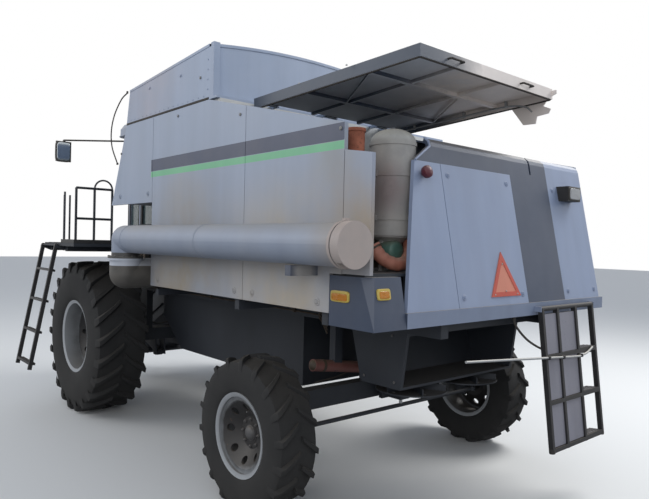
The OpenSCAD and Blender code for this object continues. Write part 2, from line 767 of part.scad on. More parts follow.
// Engine hood in its raised place, hinged at its front edge
module hood() color(slate) {
    x1 = hood_x0 + hood_w;
    rib_y = [520, 1210];
    translate([0, hinge_y, hinge_z]) rotate([hood_raised, 0, 0]) {
        translate([0, 0, -4]) linear_extrude(hood_t)
            polygon([[hood_x0, 30], [x1, 30], [x1 - hood_taper, hood_len], [hood_x0, hood_len]]);
        // Flanges at the sides and the rear lip
        block([hood_x0, hood_x0 + 20], [30, hood_len], [-hood_lip, 0]);
        translate([0, 0, -hood_lip]) linear_extrude(hood_lip) polygon([
            [x1, 30], [x1 - hood_taper, hood_len], [x1 - hood_taper - 20, hood_len], [x1 - 20, 30]]);
        block([hood_x0, x1 - hood_taper], [hood_len - 20, hood_len], [-hood_lip, 0]);
        for (y = rib_y) block([hood_x0 + 20, x1 - 10 - hood_taper * (y + 40) / hood_len], [y, y + 40],
            [-35, 0]);
        // Hinge knuckles
        for (x = hood_hinges) difference() {
            union() {
                along_x([x, x + 120], 14);
                block([x, x + 120], [0, 35], [-10, 12]);
            }
            along_x([x - 1, x + 121], 6 + run);
        }
        // Latch claw at the right rear corner
        side_plate([hood_x0, hood_x0 + claw_t])
            polygon([[hood_len - 420, 0], [hood_len + 40, 0], [hood_len + 40, -30], [hood_len - 30, -50],
                [hood_len - 80, -110], [hood_len - 15, -145], [hood_len - 35, -180], [hood_len - 140, -185],
                [hood_len - 155, -245], [hood_len - 270, -235], [hood_len - 380, -70]]);
    }
}

// The cab's outline from above, grown inwards by d
module cab_outline(d = 0) {
    x0 = cab_x - cab_w / 2 + d;
    x1 = cab_x + cab_w / 2 - d;
    r = cab_corner - d;
    translate([x0, cab_y0 + cab_corner]) square([x1 - x0, cab_y1 - d - cab_y0 - cab_corner]);
    translate([x0 + r, cab_y0 + d]) square([x1 - x0 - 2 * r, cab_corner]);
    for (x = [x0 + r, x1 - r]) translate([x, cab_y0 + cab_corner]) circle(r = r);
}

// The openings of the cab's walls: front glass, quarter and side windows, door and rear window
module cab_openings(grow = 0) {
    z1 = floor_z + cab_h - 60 + grow;
    x0 = cab_x - cab_w / 2;
    x1 = cab_x + cab_w / 2;
    block([x0 - 9, x1 + 9], [cab_y0 - 9, cab_y0 + cab_corner + grow], [floor_z + 160 - grow, z1]);
    block([x1 - 99, x1 + 9], [cab_y0 + cab_corner + 50 - grow, door_y0 - 40 + grow], [floor_z + 160 - grow,
        z1]);
    block([x0 - 9, x0 + 99], [cab_y0 + cab_corner + 50 - grow, 600 + grow], [floor_z + 500 - grow, z1]);
    block([cab_x - 560, cab_x + 560], [cab_y1 - 99, cab_y1 + 9], [floor_z + 700 - grow, z1]);
}

module cab_shell() color(silver) {
    difference() {
        translate([0, 0, floor_z]) linear_extrude(cab_h) cab_outline();
        translate([0, 0, floor_z + 20]) linear_extrude(cab_h) cab_outline(cab_t);
        cab_openings();
        block([cab_x + cab_w / 2 - 99, cab_x + cab_w / 2 + 9], [door_y0 - 3, door_y1 + 3],
            [floor_z + 40 - 3, floor_z + cab_h - 60]);
    }
    // Outer knuckles and pins of the door's hinges
    for (z = door_hinge_z) {
        for (dz = [-31, 61]) {
            translate([door_hinge[0], door_hinge[1], floor_z + z + dz]) cylinder(h = 30, r = knuckle_r);
            block([cab_x + cab_w / 2 - 1, door_hinge[0]], [door_y1 + 4, door_y1 + 28], [floor_z + z + dz,
                floor_z + z + dz + 30]);
        }
        translate([door_hinge[0], door_hinge[1], floor_z + z - 31]) cylinder(h = 122, r = door_pin_r);
    }
    // Sill under the cab on the floor beams
    block([cab_x - cab_w / 2 + 60, cab_x + cab_w / 2 - 60], [rail_y0, 380], [floor_z - plat_t, floor_z]);
}

module cab_roof() color(silver) {
    h = 170;
    r = 120;
    x = [cab_x - cab_w / 2 - 40, cab_x + cab_w / 2 + 40];
    y = [cab_y0 - 110, cab_y1 + 20];
    translate([0, 0, floor_z + cab_h]) hull() {
        for (a = [x[0] + r, x[1] - r]) for (b = [y[0] + r, y[1] - r]) {
            translate([a, b, 0]) cylinder(h = h * 0.6, r = r, $fn = 32);
            translate([a, b, 0]) cylinder(h = h, r = r * 0.6, $fn = 32);
        }
    }
}

module cab_glass() color([0.4, 0.5, 0.55, 0.5])
    intersection() {
        translate([0, 0, floor_z]) linear_extrude(cab_h) difference() {
            cab_outline(20);
            cab_outline(20 + glass_t);
        }
        cab_openings();
    }

module cab_door() color(steel_dark) {
    x1 = cab_x + cab_w / 2;
    z = [floor_z + 40, floor_z + cab_h - 63];
    difference() {
        block([x1 - cab_t, x1], [door_y0, door_y1], z);
        block([x1 - cab_t - 1, x1 + 1], [door_y0 + 50, door_y1 - 50], [z[0] + 60, z[1] - 60]);
    }
    // Middle knuckles of the hinges
    for (h = door_hinge_z) difference() {
        union() {
            translate([door_hinge[0], door_hinge[1], floor_z + h]) cylinder(h = 60, r = knuckle_r);
            block([x1 - 1, door_hinge[0]], [door_y1 - 25, door_y1 - 1], [floor_z + h, floor_z + h + 60]);
        }
        translate([door_hinge[0], door_hinge[1], floor_z + h - 1]) cylinder(h = 62, r = door_pin_r + run);
    }
    // Handle
    block([x1, x1 + 25], [door_y0 + 15, door_y0 + 35], [z[0] + 560, z[0] + 700]);
}

module door_glass() color([0.4, 0.5, 0.55, 0.5]) {
    x1 = cab_x + cab_w / 2;
    z = [floor_z + 40, floor_z + cab_h - 63];
    block([x1 - 28, x1 - 28 + glass_t], [door_y0 + 50, door_y1 - 50], [z[0] + 60, z[1] - 60]);
}

// Seat, console, steering column and wheel
module cab_interior() color("#26282b") {
    z = floor_z + 20;
    block([cab_x - 130, cab_x + 130], [130, 420], [z, z + 300]);
    block([cab_x - 250, cab_x + 250], [20, 500], [z + 300, z + 430]);
    translate([0, 470, z + 430]) rotate([-8, 0, 0]) block([cab_x - 240, cab_x + 240], [-60, 60], [0, 620]);
    block([cab_x - 520, cab_x - 320], [-150, 480], [z, z + 560]);
    block([cab_x - 70, cab_x + 70], [-490, -350], [z, z + 40]);
    bar([cab_x, -415, z + 20], [cab_x, -250, z + 715], 45);
    translate([cab_x, -250, z + 705]) rotate([-25, 0, 0]) {
        difference() {
            cylinder(h = 24, r = 205);
            translate([0, 0, -1]) cylinder(h = 26, r = 181);
        }
        for (k = [0 : 2]) rotate([0, 0, 90 + k * 120]) block([40, 184], [-12, 12], [6, 18]);
        cylinder(h = 30, r = 45);
    }
}

// Platform with its front handrail and grab rails
module platform() color(steel_dark) {
    rail_y = plat_y0 + 20;
    rail_h = 680;
    r = 15;
    posts = [1550, 1325, 1100];
    block([plat_x0, plat_x1], [plat_y0, plat_y1], [floor_z - plat_t, floor_z]);
    for (x = posts) translate([x, rail_y, floor_z]) cylinder(h = rail_h, r = r, $fn = 24);
    for (z = [300, rail_h]) bar([posts[2], rail_y, floor_z + z], [posts[0], rail_y, floor_z + z], r);
    // Grab rails beside the ladder
    for (p = [[1690, rail_y], [1625, rail_y], [1860, 320]])
        translate([p[0], p[1], floor_z]) cylinder(h = 580, r = 11, $fn = 20);
    // Bent hand rail above the front rail
    translate([(posts[1] + posts[2]) / 2, rail_y, floor_z + rail_h]) rotate([90, 0, 0])
        intersection() {
            rotate_extrude() translate([112, 0]) circle(r = 11, $fn = 20);
            block([-150, 150], [0, 150], [-20, 20]);
        }
    // Ears for the ladder's hinge
    for (y = [-ladder_y - 20 - 12, ladder_y + 20]) side_plate_y([y, y + 12])
        polygon([[plat_x1 - 60, floor_z - plat_t], [plat_x1 - 60, floor_z - 90], [ladder_hinge[0] + 20,
            ladder_hinge[1] - 20],
            [ladder_hinge[0] + 20, floor_z - plat_t]]);
    translate([ladder_hinge[0], 0, ladder_hinge[1]]) along_y([-ladder_y - 32, ladder_y + 32], 9);
}

// A flat outline of [x, z] points, thick from y[0] to y[1]
module side_plate_y(y)
    translate([0, y[1], 0]) rotate([90, 0, 0]) linear_extrude(y[1] - y[0]) children();

// Left ladder, leaning out from its hinge down to its foot
module front_ladder() color(steel_dark) {
    top = ladder_hinge;
    foot = [ladder_out, ladder_foot];
    length = norm(foot - top);
    steps = 4;
    translate([top[0], 0, top[1]]) rotate([0, -left_lean, 0]) {
        for (s = [-1, 1]) difference() {
            union() {
                block([-20, 20], [s * ladder_y - stile_t / 2, s * ladder_y + stile_t / 2], [-length, 0]);
                translate([0, s * ladder_y, 0]) along_y([-stile_t / 2, stile_t / 2], 20);
            }
            translate([0, s * ladder_y, 0]) along_y([-stile_t, stile_t], 9 + run);
        }
        for (k = [1 : steps]) block([-50, 20], [-ladder_y, ladder_y], [-length * (k - 0.15) / steps,
            -length * (k - 0.15) / steps + 25]);
    }
}

// Rear ladder: four rails, grey panels in two columns and treads in the third
module rear_ladder() color(steel_dark) {
    length = norm([rear_out, rear_hinge[1] - rear_foot]);
    x = rear_ladder_x;
    levels = [0.34, 0.66, 0.985];
    translate([0, rear_hinge[0], rear_hinge[1]]) rotate([rear_lean, 0, 0]) {
        difference() {
            union() {
                for (a = x) block([a - 15, a + 15], [-20, 20], [-length, 0]);
                along_x([x[3] - 15, x[0] + 15], 20);
            }
            along_x([x[3] - 40, x[0] + 40], 9 + run);
        }
        for (f = levels) block([x[3], x[0]], [-20, 20], [-length * f - 15, -length * f + 15]);
        for (f = levels) block([x[3] + 15, x[2] - 15], [-90, 20], [-length * f + 15, -length * f + 25]);
        // Panels
        for (i = [0, 1]) block([x[i + 1] + 15, x[i] - 15], [-3, 3], [-length * levels[2] + 15, -40]);
    }
}

// Points of the feeder house's section: u runs forwards and down along it, v across it
function feeder_at(u, v) = [
    feeder_y - u * cos(feeder_angle) - v * sin(feeder_angle),
    feeder_z - u * sin(feeder_angle) + v * cos(feeder_angle)];

// Side walls with their trunnions in the frame's bearings, and the lugs and pins of the lift cylinders
module feeder_house() color(steel_dark) both_sides() {
    side_plate([feeder_x - 30, feeder_x])
        polygon([feeder_at(-120, -feeder_low + 60), feeder_at(-120, feeder_up), feeder_at(feeder_len - 80,
            feeder_up),
            feeder_at(feeder_len - 80, -feeder_low), feeder_at(150, -feeder_low)]);
    translate([0, feeder_y, feeder_z]) along_x([feeder_x - 10, rail_out - 5], trunnion_r);
    side_plate([feeder_x, lift_x - 27])
        polygon([feeder_at(lift_u - 120, -feeder_low + 60), feeder_at(lift_u + 120, -feeder_low + 60),
            feeder_at(lift_u + 45, lift_v - 35), feeder_at(lift_u - 45, lift_v - 35)]);
    translate([0, lift_eye[0], lift_eye[1]]) along_x([lift_x - 30, lift_x + 35], lift_pin_r);
}

// Top sheet, back and floor of the feeder house between its walls
module feeder_skins() color(steel_dark) side_plate([-feeder_x + 30, feeder_x - 30]) {
    polygon([feeder_at(-120, feeder_up), feeder_at(-120, feeder_up - 30), feeder_at(feeder_len - 80,
        feeder_up - 30),
        feeder_at(feeder_len - 80, feeder_up)]);
    polygon([feeder_at(-120, -feeder_low + 60), feeder_at(150, -feeder_low), feeder_at(feeder_len - 80,
        -feeder_low),
        feeder_at(feeder_len - 80, -feeder_low + 30), feeder_at(150, -feeder_low + 30), feeder_at(-120,
            -feeder_low + 90)]);
}

// Front frame that takes the header, with the ears for the header's locking pins in its lower corners
module feeder_frame() color(steel_dark) {
    u = [feeder_len - 80, feeder_len];
    lock = feeder_at(feeder_len - 40, -feeder_low - 20);
    for (v = [[feeder_up - 30, feeder_up + 50], [-feeder_low - 60, -feeder_low + 30]]) side_plate([-600, 600])
        polygon([feeder_at(u[0], v[1]), feeder_at(u[1], v[1]), feeder_at(u[1], v[0]), feeder_at(u[0], v[0])]);
    both_sides() {
        side_plate([feeder_x - 30, 600]) polygon([feeder_at(u[0], feeder_up - 30), feeder_at(u[1],
            feeder_up - 30),
            feeder_at(u[1], -feeder_low + 30), feeder_at(u[0], -feeder_low + 30)]);
        difference() {
            side_plate([610, 640]) polygon([feeder_at(u[1], -feeder_low + 40), feeder_at(u[1],
                -feeder_low - 60),
                feeder_at(u[0], -feeder_low - 60), feeder_at(u[0], -feeder_low + 40)]);
            translate([0, lock[0], lock[1]]) along_x([600, 650], header_lock_r);
        }
        side_plate([600, 610]) polygon([feeder_at(u[1], -feeder_low + 40), feeder_at(u[1], -feeder_low + 10),
            feeder_at(u[0], -feeder_low + 10), feeder_at(u[0], -feeder_low + 40)]);
    }
}

lift_eye = feeder_at(lift_u, lift_v);
lift_dir = (lift_eye - lift_base) / norm(lift_eye - lift_base);
lift_a = atan2(-lift_dir[1], -lift_dir[0]);

// The lift cylinder's own frame: -Y runs from its base eye to its rod's eye
module lift_frame() translate([0, lift_base[0], lift_base[1]]) rotate([lift_a, 0, 0]) children();

module lift_barrels() color("#34383c") both_sides() translate([lift_x, 0, 0]) lift_frame() difference() {
    union() {
        along_y([-450, -30], lift_r);
        along_x([-30, 30], 38);
    }
    along_x([-40, 40], lift_pin_r + run);
    along_y([-451, -60], lift_rod_r + run);
}

module lift_rods() color("#c4c8cc") both_sides() translate([lift_x, 0, 0]) lift_frame() {
    l = norm(lift_eye - lift_base);
    along_y([-l + 35, -140], lift_rod_r);
    difference() {
        translate([0, -l, 0]) along_x([-20, 20], 42);
        translate([0, -l, 0]) along_x([-21, 21], lift_pin_r + lift_play);
    }
}

// Fixed part of the unloading auger: cross tube, elbow and turret
module auger_turret() color(silver) translate([turret[0], turret[1], 0]) {
    z = 1740;
    translate([0, 0, z]) along_x([1180 - turret[0], 0], turret_r);
    translate([0, 0, z]) sphere(r = turret_r);
    translate([0, 0, z]) cylinder(h = swing_z - z - 20, r = turret_r);
    translate([0, 0, swing_z - 20]) cylinder(h = 20, r = turret_r + 20);
}

// Unloading tube with its swinging elbow
module auger_tube() color(silver) translate([turret[0], turret[1], 0]) {
    r = tube_d / 2;
    translate([0, 0, swing_z + 0.3]) cylinder(h = 20, r = turret_r + 20);
    translate([0, 0, swing_z + 0.3]) cylinder(h = tube_z - swing_z - 0.3, r = r);
    translate([0, 0, tube_z]) sphere(r = r);
    translate([0, 0, tube_z]) along_y([0, tube_len], r);
}

module auger_boot() color(dust) translate([turret[0], turret[1] + tube_len, tube_z]) {
    r = tube_d / 2;
    difference() {
        along_y([0, 70], r + 8);
        along_y([-1, 55], r - 12);
        block([-r * 0.7, r * 0.7], [8, 56], [-2 * r, 0]);
    }
}

module mirrors() color("#1f2123") {
    z = floor_z + cab_h;
    // Left mirror on its arm from the roof
    bar([cab_x + cab_w / 2 + 30, cab_y0 + 255, z - 90], [1500, -870, z - 140], 11);
    block([cab_x + cab_w / 2, cab_x + cab_w / 2 + 40], [cab_y0 + 230, cab_y0 + 280], [z - 110, z - 70]);
    block([1410, 1600], [-905, -875], [z - 420, z - 155]);
    block([1489, 1511], [-905, -860], [z - 158, z - 132]);
    // Right mirror on a shorter arm
    x0 = cab_x - cab_w / 2;
    bar([x0 - 30, cab_y0 + 255, z - 90], [x0 - 520, -870, z - 140], 11);
    block([x0 - 40, x0], [cab_y0 + 230, cab_y0 + 280], [z - 110, z - 70]);
    block([x0 - 610, x0 - 420], [-905, -875], [z - 420, z - 155]);
    block([x0 - 531, x0 - 509], [-905, -860], [z - 158, z - 132]);
}

// Work lamps under the cab roof's front edge and at the right rear corner
module work_lamps() color("#1f2123") {
    for (x = [-560, -200, 200, 560]) block([cab_x + x - 75, cab_x + x + 75], [cab_y0 - 100, cab_y0 - 10],
        [floor_z + cab_h - 105, floor_z + cab_h]);
    z = [2510, 2640];
    side_plate([-1230, -1010])
        polygon([[tail_at(z[0]), z[0]], [tail_at(z[0]) + 90, z[0]], [tail_at(z[0]) + 90, z[1]],
            [tail_at(z[1]), z[1]]]);
}

module accumulator() color("#7d4340") bar(accumulator_ends[0], accumulator_ends[1], accumulator_r);

module fuel_tank() color(steel_dark)
    block([-inner_w + 70, -rail_out - 40], [3440, 4340], [rail_z1, deck_z0]);

machine() main_frame();
machine() frame_posts();
machine() cross_members();
machine() engine_deck();
machine() feeder_bearings();
machine() axle_bracket();
machine() front_axle();
machine() rear_axle();
machine() knuckle_left();
machine() knuckle_right();
machine() tie_rod();
machine() front_rim_left();
machine() front_tyre_left();
machine() front_rim_right();
machine() front_tyre_right();
machine() rear_rim_left();
machine() rear_tyre_left();
machine() rear_rim_right();
machine() rear_tyre_right();
machine() separator_housing();
machine() left_drive();
machine() cleaning_shoe();
machine() discharge_housing();
machine() spreader_left();
machine() spreader_right();
machine() grain_tank();
machine() tank_extension();
machine() side_panels();
machine() rear_panels();
machine() dark_trim();
machine() marker_lamps();
machine() slow_sign();
machine() engine();
machine() air_cleaner();
machine() exhaust_pipe();
machine() radiator_box();
machine() rotary_screen();
machine() hood();
machine() cab_shell();
machine() cab_roof();
machine() cab_glass();
machine() cab_door();
machine() door_glass();
machine() cab_interior();
machine() platform();
machine() front_ladder();
machine() rear_ladder();
machine() feeder_house();
machine() feeder_skins();
machine() feeder_frame();
machine() lift_barrels();
machine() lift_rods();
machine() auger_turret();
machine() auger_tube();
machine() auger_boot();
machine() mirrors();
machine() work_lamps();
machine() accumulator();
machine() fuel_tank();
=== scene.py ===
# %% [markdown]
# # A combine harvester, parked with its engine hood up
# The machine is a rotary combine without its header. The solids come from the CAD frame, in metres,
# and this lesson dresses them: camera and light first, then one finish after another, and then the
# pieces that a harvester shows up close, such as tyre lugs, latches, lamps, pipes and belts.

# %% Load the CAD frame
import bmesh
import bpy
import numpy as np
from mathutils import Matrix, Vector
from numpy import cos, pi, sin


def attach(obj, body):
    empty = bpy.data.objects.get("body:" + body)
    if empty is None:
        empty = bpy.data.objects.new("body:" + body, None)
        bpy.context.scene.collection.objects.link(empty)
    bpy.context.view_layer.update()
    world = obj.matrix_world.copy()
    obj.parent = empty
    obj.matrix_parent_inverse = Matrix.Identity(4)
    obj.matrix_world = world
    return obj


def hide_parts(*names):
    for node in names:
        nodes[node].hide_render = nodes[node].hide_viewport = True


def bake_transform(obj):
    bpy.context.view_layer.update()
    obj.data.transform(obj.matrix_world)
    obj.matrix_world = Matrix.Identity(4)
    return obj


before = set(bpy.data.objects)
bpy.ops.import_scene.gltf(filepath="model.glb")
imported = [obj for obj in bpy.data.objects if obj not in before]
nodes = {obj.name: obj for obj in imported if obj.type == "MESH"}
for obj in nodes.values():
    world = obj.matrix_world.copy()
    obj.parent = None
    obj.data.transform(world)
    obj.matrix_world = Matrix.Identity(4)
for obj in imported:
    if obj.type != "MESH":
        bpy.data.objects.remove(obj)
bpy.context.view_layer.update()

# %% [markdown]
# Places on a machine are easiest to think of from its front axle: X to the operator's left, Y to
# the rear, Z up, all in millimetres. The frame's own origin lies on the ground under the middle of
# the whole machine, so one small function moves and scales every point.

# %% From machine millimetres to the frame's metres
MIDDLE = np.array([271.328, 1713.587, 0.0])
WHEEL_BASE = 3550.0


def at(points):
    """Points in machine millimetres, less the middle of the machine, over a thousand."""
    return (np.asarray(points, float) - MIDDLE) / 1000


print("front axle at", at([0, 0, 900]).round(3))

# %% [markdown]
# The photograph was taken from behind the machine's left rear corner at eye height. Its lens, place
# and small roll were solved from the wheels and the long straight edges of the body.

# %% Camera
VIEW = dict(place=(3.86317, 5.76311, 2.0920), yaw=40.80, pitch=-0.667, roll=1.316)
LENS_MM, SENSOR_MM = 33.765, 36.0


def aim(place, yaw, pitch, roll):
    """The camera's matrix: look is the unit vector at the two angles, right is look x up turned by
    the roll, and the columns are right, up, minus look and the place."""
    a, p, r = np.radians([-90 - yaw, pitch, roll])
    look = np.array([cos(a) * cos(p), sin(a) * cos(p), sin(p)])
    side = np.cross(look, [0, 0, 1])
    side = side / np.linalg.norm(side)
    up = np.cross(side, look)
    right, top = cos(r) * side + sin(r) * up, cos(r) * up - sin(r) * side
    matrix = np.eye(4)
    matrix[:3, :] = np.stack([right, top, -look, place], 1)
    return Matrix(matrix.tolist())


camera = bpy.data.objects.new("camera", bpy.data.cameras.new("camera"))
camera.data.sensor_fit = "HORIZONTAL"
camera.data.sensor_width = SENSOR_MM
camera.data.lens = LENS_MM
camera.data.clip_end = 200
camera.matrix_world = aim(**VIEW)
bpy.context.scene.collection.objects.link(camera)
bpy.context.scene.camera = camera
print("camera at", VIEW["place"])

# %% [markdown]
# A colour on a screen isn't stored as the light it gives: it is bent by the sRGB curve. Blender's
# shaders work with plain light, so one function turns the hex values of paint charts into it.
# One small function adds a shader node with its settings and its links, and a few shorter ones call
# it for the nodes that come up again and again.

# %% Colour and node helpers
def colour(code):
    """Each channel c of an sRGB hex code becomes c / 12.92 when it is dark, or else
    ((c + 0.055) / 1.055) to the power 2.4."""
    c = np.array([int(code[i:i + 2], 16) for i in (1, 3, 5)]) / 255
    linear = np.where(c <= 0.04045, c / 12.92, ((c + 0.055) / 1.055) ** 2.4)
    return (*linear.tolist(), 1.0)


def add(tree, kind, values=(), links=(), **settings):
    """One shader node: settings are its own choices, values fill input sockets and links joins
    input sockets to the outputs of other nodes."""
    node = tree.nodes.new("ShaderNode" + kind)
    for key, value in settings.items():
        setattr(node, key, value)
    for key, value in dict(values).items():
        node.inputs[key].default_value = value
    for key, output in dict(links).items():
        tree.links.new(output, node.inputs[key])
    return node


def blank(name):
    """A new material with its node tree and its shader."""
    finish = bpy.data.materials.new(name)
    finish.use_nodes = True
    return finish, finish.node_tree, finish.node_tree.nodes["Principled BSDF"]


def maths(tree, operation, first, second, **settings):
    """A socket combined with a number or with another socket."""
    fixed = isinstance(second, (int, float))
    values, links = ({1: second}, {0: first}) if fixed else ({}, {0: first, 1: second})
    return add(tree, "Math", values, links, operation=operation, **settings).outputs[0]


def remap(tree, source, old, new=(0.0, 1.0), **settings):
    """A value moved from its old range to a new one, and held between the new one's ends."""
    values = dict(zip((1, 2, 3, 4), (*old, *new)))
    return add(tree, "MapRange", values, {0: source}, **settings).outputs[0]


def noise(tree, scale, detail, vector=None, **more):
    """Soft clouds from 0 to 1, as many to a metre as the scale says."""
    links = {} if vector is None else {"Vector": vector}
    return add(tree, "TexNoise", {"Scale": scale, "Detail": detail, **more}, links).outputs["Fac"]


def lay_over(tree, share, below, code):
    """A colour laid over what is below it, by a share from 0 to 1."""
    return add(tree, "MixRGB", {2: colour(code)}, {0: share, 1: below}).outputs[0]


# %% [markdown]
# The studio: a pale floor that keeps the shadow, a white surround that only the camera and the
# reflections see, and three soft lamps. The lamps are low enough that a colour renders about as it
# is written. The photograph's light comes from high behind the machine's right side. The floor
# looks pale to the camera, but the light that it throws back under the machine is that of grey
# ground, so the underside stays as dark as it is in the field.

# %% Floor, surround and lamps
FLOOR, WHITE, GROUND = "#E9E9E6", "#FFFFFF", "#9A9A9A"
scene = bpy.context.scene
scene.view_settings.view_transform = "Standard"

world = bpy.data.worlds.new("studio")
scene.world = world
world.use_nodes = True
tree = world.node_tree
tree.nodes.clear()
rays = add(tree, "LightPath").outputs
seen = maths(tree, "MAXIMUM", rays["Is Camera Ray"], rays["Is Glossy Ray"])
seen = maths(tree, "MAXIMUM", seen, rays["Is Transmission Ray"])
sky = add(tree, "Background", {"Color": colour("#E2EBFB"), "Strength": 0.54})
plain = add(tree, "Background", {"Color": colour(WHITE), "Strength": 1.0})
mixed = add(tree, "MixShader", {}, {0: seen, 1: sky.outputs[0], 2: plain.outputs[0]})
add(tree, "OutputWorld", {}, {"Surface": mixed.outputs[0]})

floor_mesh = bpy.data.meshes.new("floor")
floor_mesh.from_pydata([(-60, -60, 0), (60, -60, 0), (60, 60, 0), (-60, 60, 0)], [], [(0, 1, 2, 3)])
floor = bpy.data.objects.new("floor", floor_mesh)
scene.collection.objects.link(floor)
paint, tree, shader = blank("studio_floor")
seen = add(tree, "LightPath").outputs["Is Camera Ray"]
shade = add(tree, "MixRGB", {1: colour(GROUND), 2: colour(FLOOR)}, {0: seen})
tree.links.new(shade.outputs[0], shader.inputs["Base Color"])
shader.inputs["Roughness"].default_value = 0.9
floor_mesh.materials.append(paint)


def lamp(name, place, target, size, power):
    """A square area lamp that looks from its place to the target."""
    data = bpy.data.lights.new(name, "AREA")
    data.size, data.energy = size, power
    thing = bpy.data.objects.new(name, data)
    thing.location = place
    thing.rotation_euler = (Vector(target) - Vector(place)).to_track_quat("-Z", "Y").to_euler()
    scene.collection.objects.link(thing)
    return thing


lamp("high_back_right", (-7, 4, 9), (0, 1, 1.5), 5, 760)
lamp("left_front", (9, -6, 7), (0, 0, 1.5), 6, 330)
lamp("camera_side", (8, 9, 5), (0.5, 1, 1.5), 6, 250)
print("3 lamps")

# %% [markdown]
# Shapes come from two ideas. A surface is a function of two numbers, worked out on a grid in one
# go, and a profile can be carried along a path. A part is a pair of vertices and faces in machine
# millimetres. One function joins parts, turns the faces outward and puts the mesh into Blender.

# %% Grids, tubes, turned shapes and plates
LEFT, BACK, UP = (1, 0, 0), (0, 1, 0), (0, 0, 1)
RIGHT, AHEAD, DOWN = (-1, 0, 0), (0, -1, 0), (0, 0, -1)
SIDE_X = 1500  # the side panels' outer face
CAB_X = -70  # the middle of the cab


def angles(count):
    """So many angles, evenly round a full circle."""
    return np.arange(count) * 2 * pi / count


def circle(count, r, centre, across="x"):
    """So many points round a circle about its centre, in the plane across one axis."""
    a = angles(count)
    points = np.zeros((count, 3))
    points[:, {"x": (1, 2), "z": (0, 1)}[across]] = np.stack([r * cos(a), r * sin(a)], -1)
    return points + centre


def unit(vector):
    """The vector at length 1."""
    v = np.asarray(vector, float)
    return v / np.linalg.norm(v)


def around(axis):
    """The axis at length 1, and two directions across it at right angles."""
    w = unit(axis)
    u = unit(np.cross(w, [0, 0, 1.0] if abs(w[2]) < 0.9 else [1.0, 0, 0]))
    return w, u, np.cross(w, u)


def grid(points, close_u=False, cap=False):
    """Quads between neighbouring points of m rings of n points each. The last ring can be joined
    to the first one, or caps fill these two."""
    m, n = points.shape[:2]
    i, j = np.meshgrid(np.arange(m if close_u else m - 1), np.arange(n), indexing="ij")
    k, l = (i + 1) % m, (j + 1) % n
    faces = np.stack([i * n + j, i * n + l, k * n + l, k * n + j], -1).reshape(-1, 4).tolist()
    if cap:
        faces += [list(range(n)), list(range((m - 1) * n, m * n))]
    return points.reshape(-1, 3), faces


def curve(points, steps=8):
    """A smooth line through the points: between two of them, each coordinate is the cubic that
    also heads from the one before to the one after (Catmull-Rom)."""
    p = np.asarray(points, float)
    p = np.concatenate([2 * p[:1] - p[1:2], p, 2 * p[-1:] - p[-2:-1]])
    t = np.arange(steps)[:, None] / steps
    a, b, c, d = (p[i:len(p) - 3 + i, None] for i in range(4))
    line = 0.5 * (2 * b + (c - a) * t + (2 * a - 5 * b + 4 * c - d) * t ** 2
                  + (3 * b - a - 3 * c + d) * t ** 3)
    return np.concatenate([line.reshape(-1, 3), p[-2:-1]])


def frames(path, closed):
    """Two unit vectors across a path at each point: the tangent crossed with the axis that is
    furthest from all tangents, and the tangent crossed with that."""
    p = np.asarray(path, float)
    t = np.roll(p, -1, 0) - np.roll(p, 1, 0) if closed else np.gradient(p, axis=0)
    t = t / np.linalg.norm(t, axis=1, keepdims=True)
    axes = np.array([[1, 0, 0], [0, 1, 0], [0, 0, 1], [0.6, 0.8, 0], [0.6, 0, 0.8], [0, 0.6, 0.8],
                     [0.5, -0.7, 0.5]])
    worst = np.linalg.norm(np.cross(t[:, None], axes[None]), axis=2).min(0)
    side = np.cross(t, axes[worst.argmax()])
    side = side / np.linalg.norm(side, axis=1, keepdims=True)
    return side, np.cross(t, side)


def sweep(path, profile, closed=False):
    """A flat profile of (side, up) points carried along a path: each ring is the path's point plus
    side and up times the two unit vectors across it."""
    p, f = np.asarray(path, float), np.asarray(profile, float)
    side, up = frames(p, closed)
    rings = p[:, None] + f[None, :, :1] * side[:, None] + f[None, :, 1:] * up[:, None]
    return grid(rings, close_u=closed, cap=not closed)


def tube(path, r, sides=10, closed=False):
    """A circle of radius r carried along a path; r may be one number or one for each point."""
    a = angles(sides)
    p = np.asarray(path, float)
    side, up = frames(p, closed)
    r = np.broadcast_to(np.asarray(r, float), len(p))[:, None, None]
    rings = p[:, None] + r * (cos(a)[None, :, None] * side[:, None] + sin(a)[None, :, None] * up[:, None])
    return grid(rings, close_u=closed, cap=not closed)


def turned(profile, centre, axis=LEFT, sides=32, closed=False):
    """A profile of (along, radius) points turned about an axis: each point goes round a circle."""
    f = np.asarray(profile, float)
    w, u, v = around(axis)
    a = angles(sides)
    ring = cos(a)[:, None] * u + sin(a)[:, None] * v
    rings = np.asarray(centre, float) + f[:, :1, None] * w + np.maximum(f[:, 1:, None], 0.05) * ring[None]
    return grid(rings, close_u=closed, cap=not closed)


def plate(outline, low, high, across="x"):
    """A flat outline pushed along one axis from low to high: two rings of the same points."""
    o = np.asarray(outline, float)
    order = {"x": (2, 0, 1), "y": (0, 2, 1), "z": (0, 1, 2)}[across]
    rings = np.stack([np.column_stack([o, np.full(len(o), h)])[:, order] for h in (low, high)])
    return grid(rings, cap=True)


def box(x, y, z):
    """The six-sided block between two values on each axis."""
    return plate([(y[0], z[0]), (y[1], z[0]), (y[1], z[1]), (y[0], z[1])], x[0], x[1])


def turn(part, degrees, axis="x", centre=(0, 0, 0)):
    """The part turned about an axis through a centre."""
    r = np.array(Matrix.Rotation(np.radians(degrees), 3, axis.upper()))
    c = np.asarray(centre, float)
    return (part[0] - c) @ r.T + c, part[1]


def shift(part, step):
    """The part moved by a step."""
    return part[0] + np.asarray(step, float), part[1]


def flip(part):
    """The part's mirror image across the machine's middle."""
    return part[0] * [-1, 1, 1], part[1]


